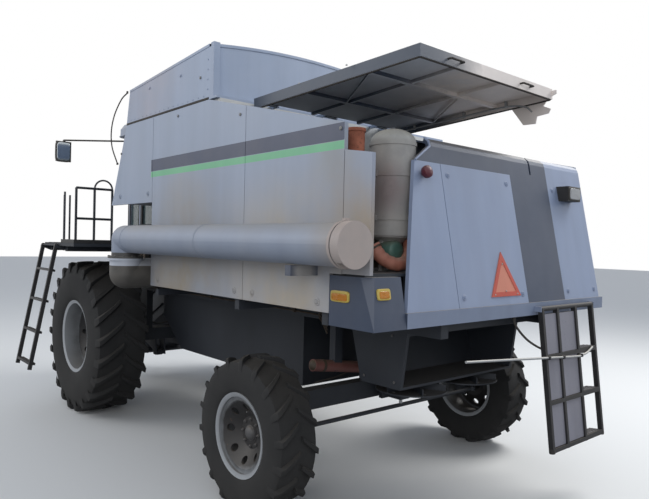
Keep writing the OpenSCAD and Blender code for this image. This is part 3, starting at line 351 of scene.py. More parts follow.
def join(parts):
    """Parts as one part: faces count on from the vertices before them."""
    starts = np.cumsum([0] + [len(v) for v, _ in parts[:-1]])
    faces = [[i + int(s) for i in f] for (_, fs), s in zip(parts, starts) for f in fs]
    return np.concatenate([v for v, _ in parts]), faces


def pipe(path, r, steps=8, sides=8):
    """A round pipe, hose or rod along the smooth line through a few points."""
    return tube(curve(path, steps), r, sides)


def band(centre, axis, r, thick, low, high, sides=28):
    """A flat ring round an axis, from low to high along it."""
    section = [(low, r), (low, r + thick), (high, r + thick), (high, r)]
    return turned(section, centre, axis, sides, closed=True)


def heads(points, axis, r=9, high=5, sides=6):
    """Screw heads: a small chamfered cap at each point, along one axis."""
    cap = turned([(-2, r), (high * 0.7, r), (high, r * 0.75)], (0, 0, 0), axis, sides)
    return join([shift(cap, p) for p in points])


finished = []


def piece(name, parts, finish, body="machine", bevel=0, smooth=40, replaces=()):
    """Parts in machine millimetres become one mesh in the frame, with faces outward, that rides
    on a body. bevel is the width in millimetres of its rounded edges."""
    vertices, faces = join(parts)
    mesh = bpy.data.meshes.new(name)
    mesh.from_pydata(at(vertices).tolist(), [], faces)
    work = bmesh.new()
    work.from_mesh(mesh)
    bmesh.ops.recalc_face_normals(work, faces=work.faces)
    work.to_mesh(mesh)
    work.free()
    mesh.materials.append(finish)
    thing = bpy.data.objects.new(name, mesh)
    scene.collection.objects.link(thing)
    if bevel:
        edge = thing.modifiers.new("edges", "BEVEL")
        edge.width, edge.segments, edge.limit_method = bevel / 1000, 2, "ANGLE"
    mesh.shade_smooth()
    mesh.set_sharp_from_angle(angle=np.radians(smooth))
    if replaces:
        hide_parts(*replaces)
    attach(thing, body)
    finished.append(thing)
    return thing


# %% [markdown]
# Most of the machine is sheet steel under enamel that has stood outdoors for years. Such paint is
# a dielectric coat (IOR 1.5) whose gloss has gone chalky. Dust lies on what faces up and collects
# low down, rain draws faint vertical runs, and thin sheet is never quite flat. One function builds
# this coat. Each paint then only names its colours and how much of each effect it shows.

# %% Weathered coat
COAT_IOR = 1.5
WHOLE_MACHINE = 50  # a stripe that reaches this far, in metres, has no ends on that axis


def weathered(name, base, dust, amount=0.35, rough=0.5, mottle=0.12, runs=0.08, low=0.0, patch_mm=450,
              grain_mm=7, grain=0.25, wave=0.0, metallic=0.0, stripes=(), chips=None, chip_amount=0.0,
              spots=(), under=None):
    """Colour is the base, darkened and lightened by wide clouds and by vertical runs, then mixed
    with dust where clouds, upward faces and low places say so. stripes paints boxes of another
    colour: (centre, half size, colour) in machine millimetres, before the dust. spots are soft
    round places of another colour: (centre, radius, colour, strength). Some paints use stripes and
    spots for painted shade and painted highlights. under is the colour of faces that look down; on
    the hood it is a pale painted light that lifts the shaded underside."""
    finish, tree, shader = blank(name)
    place = add(tree, "TexCoord").outputs["Object"]
    xyz = add(tree, "SeparateXYZ", {}, {0: place}).outputs
    normal = add(tree, "NewGeometry").outputs["Normal"]
    facing = add(tree, "SeparateXYZ", {}, {0: normal}).outputs[2]
    clouds = noise(tree, 1000 / patch_mm, 6.0, place, Roughness=0.6)
    fine = noise(tree, 1000 / grain_mm, 3.0, place)
    tall = add(tree, "Mapping", {"Scale": (1.0, 1.0, 0.1)}, {"Vector": place}).outputs[0]
    rain = noise(tree, 1000 / 170, 2.0, tall)
    tone = remap(tree, clouds, (0.3, 0.7), (1 - mottle, 1 + mottle))
    run = remap(tree, rain, (0.35, 0.65), (1 - runs, 1 + runs * 0.5))
    now = add(tree, "RGB").outputs[0]
    now.default_value = colour(base)
    if under:
        now = lay_over(tree, remap(tree, facing, (-0.75, -0.9)), now, under)
    for centre, radius, code, strength in spots:
        away = add(tree, "VectorMath", {1: at(centre).tolist()}, {0: place}, operation="DISTANCE")
        soft = remap(tree, away.outputs["Value"], (0.0, radius / 1000), (1.0, 0.0),
                     interpolation_type="SMOOTHSTEP")
        rough_edge = remap(tree, clouds, (0.3, 0.7), (0.3 * strength, strength))
        now = lay_over(tree, maths(tree, "MULTIPLY", soft, rough_edge), now, code)
    for centre, half, code in stripes:
        inside = None
        for middle, reach, along in zip(at(centre), np.asarray(half) / 1000, xyz):
            if reach < WHOLE_MACHINE:
                hit = add(tree, "Math", {1: float(middle), 2: float(reach)}, {0: along},
                          operation="COMPARE").outputs[0]
                inside = hit if inside is None else maths(tree, "MULTIPLY", inside, hit)
        now = lay_over(tree, inside, now, code)
    gain = maths(tree, "MULTIPLY", tone, run)
    toned = add(tree, "MixRGB", {0: 1.0}, {1: now, 2: gain}, blend_type="MULTIPLY").outputs[0]
    if chips:
        flakes = noise(tree, 1000 / 22, 5.0, place, Roughness=0.75)
        edge = (0.66 - 0.14 * chip_amount, 0.72 - 0.1 * chip_amount)
        toned = lay_over(tree, remap(tree, flakes, edge), toned, chips)
    up = remap(tree, facing, (0.35, 1.0), (0.0, 0.45))
    cloud_dust = remap(tree, clouds, (0.35, 0.7), (amount * 0.35, amount))
    low_dust = remap(tree, xyz[2], (0.2, 1.9), (low, 0.0))
    total = maths(tree, "ADD", maths(tree, "ADD", up, cloud_dust), low_dust, use_clamp=True)
    tree.links.new(lay_over(tree, total, toned, dust), shader.inputs["Base Color"])
    gloss = remap(tree, total, (0.0, 1.0), (rough, min(1.0, rough + 0.35)))
    tree.links.new(gloss, shader.inputs["Roughness"])
    height = maths(tree, "MULTIPLY", fine, grain * 0.0006)
    if wave:
        swell = maths(tree, "MULTIPLY", noise(tree, 1.6, 1.0, place), wave / 1000)
        height = maths(tree, "ADD", height, swell)
    bump = add(tree, "Bump", {"Strength": 1.0, "Distance": 1.0}, {"Height": height})
    tree.links.new(bump.outputs[0], shader.inputs["Normal"])
    shader.inputs["Metallic"].default_value = metallic
    if not metallic:
        shader.inputs["IOR"].default_value = COAT_IOR
    return finish


# %% [markdown]
# The paints. The body is silver-grey enamel: cooler where the sky lights it, tan where the straw
# dust of the open corner has settled. A slate band with a bright green line runs along the side,
# above the unloading tube. The frame is black enamel under field dust, and the rims are pale grey.
# Painted shade darkens the turret's lower part, the foot of the tube over it and each rim's inner
# disc, and a pale painted light lifts the hood's shaded underside.

# %% Enamels
DUST, STRAW = "#A39A8B", "#A08A6A"
STRIPES = [((0, 3180, 2811), (99e3, 1415, 57), "#1E3458"), ((0, 3180, 2724), (99e3, 1415, 27), "#72C293")]
silver_side = weathered("silver_enamel_side", "#9DABC1", DUST, 0.2, 0.42, 0.06, 0.05, patch_mm=700, wave=6,
                        stripes=STRIPES, spots=[((1500, 4700, 2250), 700, STRAW, 0.9),
        ((1500, 4480, 2700), 330, "#8A8466", 0.55), ((1500, 2500, 1800), 1300, "#968C7C", 1.5),
        ((1500, 4000, 1750), 1100, "#B9AE9C", 1.5)])
silver_rear = weathered("silver_enamel_rear", "#8C9CB9", DUST, 0.14, 0.4, 0.05, 0.05, patch_mm=700, wave=5)
# The dark box at the tube's foot, where it sits on the turret, is painted shade under the tube; the straw
# spot at its outer end is dust.
tube_silver_painted_shade = weathered("silver_enamel_tube_painted_shade", "#909CB0", DUST, 0.24, 0.42, 0.06, 0.04,
                        stripes=[((1670, 1590, 1918), (300, 300, 28), "#34383D")],
                        spots=[((1670, 4900, 2080), 420, STRAW, 0.8)])
# The dark box over the turret's lower part is painted shade under the unloading tube.
turret_silver_painted_shade = weathered("silver_enamel_turret_painted_shade", "#CBD3E0", DUST, 0.35, 0.45, 0.1, 0.05,
                          stripes=[((1500, 1590, 1690), (500, 300, 128), "#2F3236")])
slate = weathered("slate_enamel", "#304059", DUST, 0.1, 0.42, 0.08, 0.06, wave=4,
                  stripes=[((-150, 4900, 1600), (1349, 70, 49.9), "#8390A8")],
                  spots=[((1615, 4330, 1905), 150, "#9C9A98", 2.5)])
# The hood's pale underside colour and the pale spot over the hood's rear are painted light on the shaded
# underside.
hood_slate_painted_light = weathered("slate_enamel_hood_painted_light", "#3B495C", DUST, 0.12, 0.45, 0.08, 0.04, wave=5, under="#D5DDE8",
                       spots=[((-450, 4800, 3360), 1450, "#EFE6DF", 3.0)])
frame_black = weathered("black_enamel_frame", "#232A34", "#4A4641", 0.14, 0.55, 0.15, 0.08, low=0.1,
                        chips="#3A2E28", chip_amount=0.1)
ladder_black = weathered("black_enamel_steps", "#202226", "#4E473F", 0.16, 0.5, 0.12, 0.08, low=0.06,
                         chips="#7A7D80", chip_amount=0.12)
ladder_grey = weathered("grey_enamel_steps", "#8B8C99", "#8A8378", 0.22, 0.5, 0.1, 0.1, low=0.1,
                        chips="#4F5256", chip_amount=0.25)
WHEELS = [(1360, 0, 900), (-1360, 0, 900), (1420, 3550, 600), (-1420, 3550, 600)]
# Each rim's dark round spot is painted shade over its inner disc; only the flange keeps the pale grey.
rim_silver_painted_shade = weathered("silver_enamel_rims_painted_shade", "#B4B8BB", "#5E564C", 0.16, 0.45, 0.1, 0.05, low=0.06,
                       chips="#7A5A44", chip_amount=0.1,
                       spots=[(c, 500 if c[1] == 0 else 385, "#202226", 8.0) for c in WHEELS])
cab_silver = weathered("silver_enamel_cab", "#98A3B6", DUST, 0.18, 0.42, 0.06, 0.06, wave=4)
tank_silver = weathered("silver_enamel_tank", "#97A7C0", DUST, 0.14, 0.42, 0.06, 0.06, wave=4,
                        spots=[((1500, 1700, 3560), 900, "#A99A9C", 0.5)])
red_primer = weathered("red_oxide_primer", "#6E3D3A", "#80695A", 0.25, 0.5, 0.12, 0.05)
hot_orange = weathered("orange_silicone_duct", "#B96C58", "#B89A88", 0.4, 0.6, 0.18, 0.05, patch_mm=120)
teal = weathered("teal_enamel_reservoir", "#3F6F66", "#7A7260", 0.3, 0.45, 0.15, 0.05)
dark_red = weathered("dark_red_plastic", "#5A2030", "#80695A", 0.12, 0.35, 0.08, 0.02)
print(len(bpy.data.materials), "materials")

# %% [markdown]
# The engine bay's finishes are rougher: cast iron under oil and chaff, a rusted exhaust, a filter
# housing so dusty that its paint hardly shows, and galvanised sheet in the grain tank, whose zinc
# has crystals some 15 mm wide.

# %% Rust, castings, zinc and screen
# The straw dust is real; the pale spot on the dome on top is a painted highlight, and the dark spot on the
# outboard side is painted shade.
straw_dust_and_painted_light = weathered("straw_dusted_enamel_painted_light", "#A5A5A4", "#A39A8C", 0.45, 0.75, 0.25, 0.2, grain=1.2,
                       patch_mm=180, spots=[((900, 4460, 2990), 300, "#CDD4CE", 2.2),
                                            ((1090, 4560, 2480), 290, "#786B70", 1.8)])
boot_dust = weathered("straw_dusted_silver", "#B5ABA6", "#A8978A", 0.35, 0.6, 0.1, 0.03, patch_mm=160)
cast_iron = weathered("oily_cast_iron", "#3A332C", "#6A5844", 0.4, 0.6, 0.3, 0.1, grain=1.5, patch_mm=160)
rust = weathered("rusted_steel", "#A05A45", "#B07A5E", 0.4, 0.85, 0.35, 0.1, grain=1.6, patch_mm=90,
                 chips="#5A2E22", chip_amount=0.8)
zinc = weathered("galvanised_sheet", "#B3B8BC", DUST, 0.3, 0.45, 0.1, 0.05, grain_mm=15, grain=0.4,
                 metallic=0.6)
screen_grey = weathered("grey_enamel_screen", "#6E757B", DUST, 0.45, 0.5, 0.1, 0.05)
black_rubber = weathered("moulded_rubber", "#26272A", "#6A6155", 0.35, 0.8, 0.15, 0.02)
black_plastic = weathered("moulded_black_plastic", "#1F2022", "#6E675C", 0.25, 0.5, 0.1, 0.02)
chrome = weathered("hard_chrome", "#C6C9CC", "#8A8070", 0.12, 0.16, 0.03, 0.0, metallic=1.0)
tyre_rubber = weathered("tyre_rubber", "#191C20", "#45413B", 0.2, 0.85, 0.18, 0.02, low=0.14, patch_mm=260,
                        grain_mm=9, grain=0.8)
print(len(bpy.data.materials), "materials")

# %% [markdown]
# Lamps and glass. A marker lamp's lens is amber acrylic, a thick coloured plastic with a glossy
# skin. The cab's panes are tinted safety glass, thin walled, so the light goes straight through.

# %% Acrylic, signal paint and glass
def clear(name, tint, rough, through, alpha=1.0):
    """A glossy clear plastic or glass: part of its light goes through, tinted by its colour, and a
    thin film of dust lifts the roughness in clouds."""
    finish, tree, shader = blank(name)
    film = noise(tree, 6.0, 6.0, add(tree, "TexCoord").outputs["Object"])
    tone = add(tree, "ValToRGB", {}, {0: film})
    clean, dusty = tone.color_ramp.elements
    clean.position, dusty.position = 0.3, 0.75
    clean.color = colour(tint)
    dusty.color = tuple(np.array(colour(tint)) * [0.88, 0.88, 0.86, 1])
    gloss = remap(tree, film, (0.3, 0.8), (rough, rough + 0.25))
    tree.links.new(tone.outputs[0], shader.inputs["Base Color"])
    tree.links.new(gloss, shader.inputs["Roughness"])
    shader.inputs["Transmission Weight"].default_value = through
    shader.inputs["IOR"].default_value = 1.49
    shader.inputs["Alpha"].default_value = alpha
    return finish


amber = clear("amber_acrylic_lens", "#D98A1E", 0.15, 0.25)
lamp_glass = clear("pressed_lamp_glass", "#D8DCDF", 0.08, 0.5)
cab_glass = clear("tinted_safety_glass", "#5E7072", 0.05, 0.0, 0.5)
signal = weathered("signal_orange_sheet", "#DC8A74", "#C09A80", 0.2, 0.6, 0.05, 0.05)
signal_edge = weathered("signal_red_sheet", "#C8503F", "#A07A68", 0.2, 0.5, 0.05, 0.05)
print(len(bpy.data.materials), "materials")

# %% [markdown]
# Every solid of the frame gets its finish. The mesh stays as the CAD made it: only the slots change.

# %% Finishes for the CAD solids
def both(*names):
    """Each name with _left and with _right."""
    return [name + side for name in names for side in ("_left", "_right")]


FINISHES = {frame_black: ["main_frame", "frame_posts", "cross_members", "engine_deck", "feeder_bearings",
                          "axle_bracket", "front_axle", "rear_axle", *both("knuckle"), "tie_rod",
                          "separator_housing", "cleaning_shoe", "discharge_housing", *both("spreader"),
                          "radiator_box", "platform", "feeder_house", "feeder_skins", "feeder_frame",
                          "lift_barrels", "fuel_tank", "cab_door"],
            ladder_black: ["front_ladder", "rear_ladder"], black_rubber: ["left_drive"],
            rim_silver_painted_shade: both("front_rim", "rear_rim"), zinc: ["grain_tank"], silver_side: ["side_panels"],
            silver_rear: ["rear_panels"], cab_silver: ["cab_shell", "cab_roof"],
            tank_silver: ["tank_extension"], turret_silver_painted_shade: ["auger_turret"], tube_silver_painted_shade: ["auger_tube"],
            straw_dust_and_painted_light: ["air_cleaner"], boot_dust: ["auger_boot"], slate: ["dark_trim"],
            hood_slate_painted_light: ["hood"], amber: ["marker_lamps"], signal: ["slow_sign"], cast_iron: ["engine"],
            rust: ["exhaust_pipe"], screen_grey: ["rotary_screen"], cab_glass: ["cab_glass", "door_glass"],
            black_plastic: ["cab_interior", "mirrors", "work_lamps"], chrome: ["lift_rods"],
            red_primer: ["accumulator"], tyre_rubber: both("front_tyre", "rear_tyre")}

for finish, names in FINISHES.items():
    for name in names:
        nodes[name].data.materials.clear()
        nodes[name].data.materials.append(finish)
bare = sorted(set(nodes) - {n for names in FINISHES.values() for n in names})
print("nodes without a finish:", bare)

# %% [markdown]
# Farm tyres. The carcass is a closed ring whose section bulges at the walls and is nearly flat
# across the crown. Bars of rubber stand on it in two staggered rows. Each bar starts near the
# middle, leans back as it goes outward, and bends over the shoulder. They could be cut from a
# block, but a bar carried along its own curved path keeps its width and its rounded foot.

# %% Tyres
def tyre_section(r, half, bead, lug):
    """The half section from the bead over the wall to the middle of the crown, as (x, radius):
    the wall is part of an ellipse and the crown is a very flat arc."""
    crown = r - lug
    a = np.linspace(-0.95, 1.15, 12)
    middle = bead + (crown - bead) * 0.5
    wall = np.column_stack([half * (0.80 + 0.195 * cos(a)), middle + (crown - bead) * 0.47 * sin(a)])
    x = np.linspace(half * 0.78, 0, 6)[1:]
    top = np.column_stack([x, crown - 26 * (x / half) ** 2])
    foot = [(half * 0.80, bead), (half * 0.84, bead + 16)]
    return np.concatenate([foot, wall, top])


def bar_lug(r, half, lug, lean, wide, side):
    """One lug: a trapezoid section carried from the middle outward. Its place round the wheel
    grows with x, and past the shoulder its path turns down the wall."""
    u = np.linspace(0, 1, 9)
    x = np.where(u < 0.8, 10 + (half - 34) * u / 0.8, half - 24 + 20 * sin((u - 0.8) / 0.2 * pi / 2))
    drop = np.where(u < 0.8, 0, 70 * (1 - cos((u - 0.8) / 0.2 * pi / 2)))
    base = r - lug - 26 * (x / half) ** 2 - 14
    arc = lean * (x / half) ** 0.85
    top = r - 1.0 - 6 * (x / half) ** 2 - drop
    foot = np.minimum(base, top - 12) - drop * 0.6
    w0, w1 = wide * (0.62 + 0.3 * u), wide * (0.38 + 0.2 * u)
    ring = [(-w0, foot), (-w1, top - 4), (-w1 * 0.86, top), (w1 * 0.86, top), (w1, top - 4), (w0, foot)]
    points = []
    for offset, radius in ring:
        angle = (arc + offset) / r
        points.append(np.stack([side * x, radius * sin(angle), radius * cos(angle)], -1))
    return grid(np.stack(points, 1), cap=True)


def tyre(centre, r, width, bead, lug, count, wide, outer):
    """Carcass and lugs of one tyre. outer is 1 for the left wheels and -1 for the right ones."""
    half = width / 2 - 3
    section = tyre_section(r, half, bead, lug)
    ring = np.concatenate([section, (section * [-1, 1])[::-1][1:]])
    parts = [turned(ring, (0, 0, 0), LEFT, 64, closed=True)]
    for side in (-1, 1):
        one = bar_lug(r, half, lug, half * 0.8, wide, side)
        step = 360 / count
        parts += [turn(one, -(k + (side > 0) * 0.5) * step) for k in range(count)]
    all_parts = join(parts)
    return shift((all_parts[0] * [outer, 1, 1], all_parts[1]), centre)


FRONT = dict(r=900, width=600, bead=406, lug=34, count=22, wide=56)
REAR = dict(r=600, width=360, bead=305, lug=25, count=18, wide=40)
for side, sign in (("left", 1), ("right", -1)):
    piece("front_tyre_tread_" + side, [tyre((sign * 1360, 0, 900), outer=sign, **FRONT)], tyre_rubber,
          "wheel_front_" + side, replaces=["front_tyre_" + side])
    piece("rear_tyre_tread_" + side, [tyre((sign * 1420, WHEEL_BASE, 600), outer=sign, **REAR)], tyre_rubber,
          "wheel_rear_" + side, replaces=["rear_tyre_" + side])
print("4 tyres,", sum(len(o.data.polygons) for o in finished), "faces")

# %% [markdown]
# A rim is bolted to its hub by a ring of nuts on studs, and a pressed cap keeps the dirt out of the
# bearing. One nut is a turned shape with six sides, copied round the circle.

# %% Wheel nuts, hub caps and valves
def wheel_fittings(disc_x, bolt_r, count, nut, hub_x, cap, stem_x, stem_r):
    """Nuts with studs on a circle, a hub cap whose bulge is a quarter ellipse, and a bent valve
    stem, all about the X axis with the outside at +X."""
    hexagon = turned([(0, nut), (nut * 0.9, nut), (nut * 1.1, nut * 0.8)], (0, 0, 0), LEFT, 6)
    stud = turned([(0, nut * 0.5), (nut * 1.6, nut * 0.5), (nut * 1.7, nut * 0.35)], (0, 0, 0), LEFT, 8)
    ring = circle(count, bolt_r, (disc_x, 0, 0))
    parts = [shift(p, q) for q in ring for p in (hexagon, stud)]
    bulge = [(6 + cap * 0.5 * sin(a), cap * cos(a)) for a in np.linspace(0, pi / 2, 8)]
    parts.append(turned([(-1, cap * 1.12), (5, cap * 1.12)] + bulge, (hub_x, 0, 0), LEFT, 24))
    stem = [(stem_x, stem_r * 0.38, stem_r * 0.92), (stem_x + 26, stem_r * 0.385, stem_r * 0.93),
            (stem_x + 48, stem_r * 0.4, stem_r * 0.97)]
    return join(parts + [pipe(stem, 5, 4)])


wheel_bolts = weathered("blackened_steel_bolts", "#55575A", "#6A5E50", 0.3, 0.45, 0.15, 0.02)
FITTINGS = dict(front=wheel_fittings(-12, 175, 10, 16, -8, 92, 44, 300),
                rear=wheel_fittings(38, 105, 8, 12, 42, 54, 88, 200))
for c in WHEELS:
    end, side = ("front", "rear")[c[1] > 0], ("left", "right")[c[0] < 0]
    v, f = FITTINGS[end]
    piece("wheel_fittings_%s_%s" % (end, side), [(v * [np.sign(c[0]), 1, 1] + c, f)], wheel_bolts,
          "wheel_%s_%s" % (end, side))
print("4 sets of nuts and caps")

# %% [markdown]
# The sheet-metal side panels are held by quarter-turn latches near their lower edge and by studs
# with rubber washers along the top. The latch is a pressed cup with a slotted barrel in it.

# %% Latches, studs and panel edges
latch = join([turned([(-2, 27), (4, 27), (6, 24), (6, 19), (2, 17), (2, 2)], (0, 0, 0), LEFT, 20),
              turned([(0, 13), (7, 13), (9, 10), (9, 1)], (0, 0, 0), LEFT, 12),
              box((7, 12), (-3, 3), (-11, 11))])
spots_left = [(SIDE_X, y, 1692) for y in (1960, 3330, 3580, 4360)]
spots_left += [(SIDE_X, 1010, 2540), (SIDE_X, 1700, 2540)]
latches = [shift(latch, p) for p in spots_left]
latches += [flip(shift(latch, p)) for p in spots_left + [(SIDE_X, 4650, 1760)]]
piece("panel_latches", latches, silver_side)
studs = [(SIDE_X, 2319, 3226), (SIDE_X, 3370, 3089), (SIDE_X, 1027, 3000), (SIDE_X, 2721, 3501),
         (SIDE_X, 4560, 2830), (SIDE_X, 4560, 1960)]
piece("panel_studs", [heads(studs, LEFT, 13, 9, 10), flip(heads(studs[:3], LEFT, 13, 9, 10))], screen_grey)
gaskets = [box((1469, 1497), (y - 2.4, y + 2.4), z) for y, z in ((1800, (2455, 3280)), (3450, (1640, 3140)))]
piece("panel_gaskets", gaskets + [flip(g) for g in gaskets], black_rubber)
lips = [box((1484, 1502), (y0, y1), (1628, 1640)) for y0, y1 in ((1810, 3440), (3460, 4476))]
piece("panel_lower_lips", lips + [flip(box((1484, 1502), (1810, 3440), (1628, 1640)))], silver_side, bevel=2)
print("latches, studs and gaskets")

# %% [markdown]
# The tank's extension is thin sheet. Its edges are folded over for stiffness, rows of rivets join it
# to the rim, and two tie rods keep the long walls apart. A cable with a slack bow runs down from its
# front corner to the panel below.

# %% Tank extension: folded edges, rivets, tie rods and cable
RIM, EXT_X = 3290, (-830, SIDE_X)
arch = [(335 + t * 1165, RIM + 470 + 90 * (1 - t * t)) for t in np.linspace(-1, 1, 41)]
hem = plate([(x, z + 3) for x, z in arch] + [(x, z - 26) for x, z in arch[::-1]], 2864, 2896, "y")
side_hem = [(1240, 3628), (1240, 3655), (2866, 3766), (2866, 3738)]
hems = [hem, plate(side_hem, 1465, 1504), plate(side_hem, -834, -795),
        box((-834, 1504), (1218, 1248), (3628, 3655))]
piece("extension_hems", hems, tank_silver, bevel=4)
rows = [(SIDE_X, y, 3330) for y in np.arange(1260, 2860, 95)]
rows += [(SIDE_X, 2845, z) for z in np.arange(3380, 3720, 85)]
rear_rows = [(x, 2890, 3330) for x in np.arange(-780, 1460, 95)]
inner = [(1470, y, 3340) for y in np.arange(1260, 2860, 190)]
far_rows = [(EXT_X[0], y, z) for _, y, z in rows]
rivets = [heads(points, axis, 7, 4)
          for points, axis in ((rows, LEFT), (rear_rows, BACK), (inner, RIGHT), (far_rows, RIGHT))]
piece("extension_rivets", rivets, tank_silver)
ties = [tube([(-802, y, 3590), (1472, y, 3590)], 13, 12) for y in (1700, 2350)]
nuts = [heads([(x, y, 3590)], (np.sign(x), 0, 0), 15, 9) for x in EXT_X for y in (1700, 2350)]
piece("extension_tie_rods", ties + nuts, tank_silver)
bow = pipe([(SIDE_X, 1160, 3640), (1528, 1060, 3575), (1560, 960, 3420), (1570, 905, 3250),
            (1548, 880, 3080), (1503, 925, 2900)], 7)
clips = [box((1498, 1512), (1150, 1172), (3628, 3652)), box((1496, 1512), (915, 937), (2890, 2912))]
piece("tank_lamp_cable", [bow] + clips, black_rubber)
piece("extension_seal", [box((1471, 1503), (1150, 2868), (3289, 3311))], black_rubber, bevel=3)
print("extension finished,", len(rows) + len(rear_rows) + len(inner), "rivets")

# %% [markdown]
# Inside the tank the cross auger's flighting is one long helical strip, welded on edge round its
# tube. The strip is the surface between two helices of the same pitch and different radius.

# %% Auger flighting
def flighting(start, end, r0, r1, pitch, t=5, steps=20):
    """A helical strip from r0 to r1 round the line from start to end: at a turn a, its point stands
    a / (2 pi) pitches along the line."""
    a, b = np.asarray(start, float), np.asarray(end, float)
    length = np.linalg.norm(b - a)
    w, u, v = around(b - a)
    turns = np.linspace(0, 1, int(steps * length / pitch) + 1)
    angle = turns[:, None, None] * 2 * pi * length / pitch
    profile = np.array([(-t / 2, r0), (-t / 2, r1), (t / 2, r1), (t / 2, r0)])
    ring = cos(angle) * u + sin(angle) * v
    along = turns[:, None, None] * length + profile[None, :, :1]
    return grid(a + along * w + profile[None, :, 1:] * ring, cap=True)


cross = [flighting((-1430, 2040, 2410), (-10, 2040, 2410), 29, 118, 210),
         flighting((1430, 2040, 2410), (10, 2040, 2410), 29, 118, 210)]
piece("cross_auger_flighting", cross, cast_iron)
lift = flighting((-300, 2277, 3234), (-120, 2243, 3348), 20, 84, 150)
piece("fill_auger_flighting", [lift, tube([(-420, 2300, 3160), (-100, 2239, 3361)], 20, 12)], cast_iron)
ribs = [plate([(1215 + 6, 3270), (1215 + 46, 3270), (880, 2520), (850, 2520)], x - 4, x + 4)
        for x in (-900, -300, 300, 900)]
piece("tank_front_ribs", ribs, zinc)
print("flighting and ribs")

# %% [markdown]
# The hood is a pressed sheet on a light frame. Long stiffeners cross its two ribs, a latch rod runs
# to the claw, a rubber seal follows its lower edge, and grab handles help to pull it down.

# %% Hood: stiffeners, latch rod, seal and handles
HOOD_DEGREES, HOOD_HINGE = 3.4, (0, 3080, 3290)


def hood_piece(name, parts, finish, bevel=0):
    """A piece made in the hood's own place, with Y along it from the hinge, and raised with it."""
    piece(name, [shift(turn(p, HOOD_DEGREES), HOOD_HINGE) for p in parts], finish, "hood", bevel)


stiff = [box((x - 16, x + 16), (40, 1748), (-30, -3)) for x in (-20, 560)]
diagonal = [tube([(x0, 545, -26), (x1, 1225, -26)], 10, 8)
            for x0, x1 in ((-560, -60), (20, -20), (600, 1000))]
hood_piece("hood_stiffeners", stiff + diagonal, hood_slate_painted_light, bevel=3)
rod = pipe([(-560, 80, -45), (-560, 700, -45), (-562, 1300, -46), (-575, 1520, -80),
            (-586, 1590, -140)], 7, 6)
guides = [box((-572, -548), (y, y + 16), (-56, 0)) for y in (300, 900, 1350)]
hood_piece("hood_latch_rod", [rod] + guides, zinc)
lip = [tube([(-588, 60, -73), (-588, 1755, -73)], 8, 8), tube([(-580, 1760, -73), (1068, 1760, -73)], 8, 8),
       tube([(1186, 60, -73), (1074, 1755, -73)], 8, 8)]
hood_piece("hood_edge_seal", lip, black_rubber)
grabs = [pipe([(x, 1771, -30), (x, 1800, -32), (x + 30, 1806, -34), (x + 110, 1806, -34),
               (x + 140, 1800, -32), (x + 140, 1771, -30)], 8, 5) for x in (-250, 650)]
hood_piece("hood_grab_handles", grabs, black_rubber)
screws = [(x, y, 16) for x in (-585, 1160) for y in (120, 600, 1150)]
screws += [(x, 1740, 16) for x in (-400, 0, 400, 800)]
hood_piece("hood_screws", [heads(screws, UP, 9, 5)], zinc)
print("hood dressed")

# %% [markdown]
# The engine bay is what this photograph shows best. Round the CAD block stand the parts that make
# an engine: belt drive, alternator, filters, injection pump with its six steel pipes, turbocharger,
# a rubber intake elbow, a rusted exhaust elbow, coolant hoses and the wiring.

# %% Engine fittings
def left_bend(a, b, q):
    """Positive where the way from a by b to q bends to the left (the flat cross product)."""
    return (b[0] - a[0]) * (q[1] - a[1]) - (b[1] - a[1]) * (q[0] - a[0])


def belt(circles, x, wide, thick=9):
    """A belt round pulleys: the convex outline of their circles, carried round with a flat section."""
    a = angles(48)
    p = sorted({(round(cy + r * cos(t), 3), round(cz + r * sin(t), 3)) for cy, cz, r in circles for t in a})
    halves = []
    for points in (p, p[::-1]):
        line = []
        for q in points:
            while len(line) > 1 and left_bend(line[-2], line[-1], q) <= 0:
                line.pop()
            line.append(q)
        halves += line[:-1]
    ring = []
    for (y0, z0), (y1, z1) in zip(halves, halves[1:] + halves[:1]):
        n = max(1, int(np.hypot(y1 - y0, z1 - z0) / 60))
        ring += [(x, y0 + (y1 - y0) * k / n, z0 + (z1 - z0) * k / n) for k in range(n)]
    return sweep(ring, [(-thick / 2, -wide / 2), (thick / 2, -wide / 2), (thick / 2, wide / 2),
                        (-thick / 2, wide / 2)], closed=True)


def pulley(x, y, z, r, wide):
    """A grooved pulley: half a hub, a web, a rim and a groove, and their mirror image, turned."""
    w = wide / 2
    half = [(-w, 8), (-w, r * 0.4), (-w * 0.4, r * 0.45), (-w * 0.4, r * 0.8), (-w, r * 0.84),
            (-w, r + 6), (-w * 0.8, r + 6), (-w * 0.7, r - 4)]
    return turned(half + [(-along, radius) for along, radius in half[::-1]], (x, y, z), LEFT, 32)


def belt_drive(x, circles, wide, less, groove, shaft, r, sides):
    """A belt at x, and the pulleys under it with their shafts from shaft[0] to shaft[1]."""
    grooved = [pulley(x, y, z, reach - less, groove) for y, z, reach in circles]
    shafts = [tube([(shaft[0], y, z), (shaft[1], y, z)], r, sides) for y, z, _ in circles]
    return belt(circles, x, wide), grooved + shafts


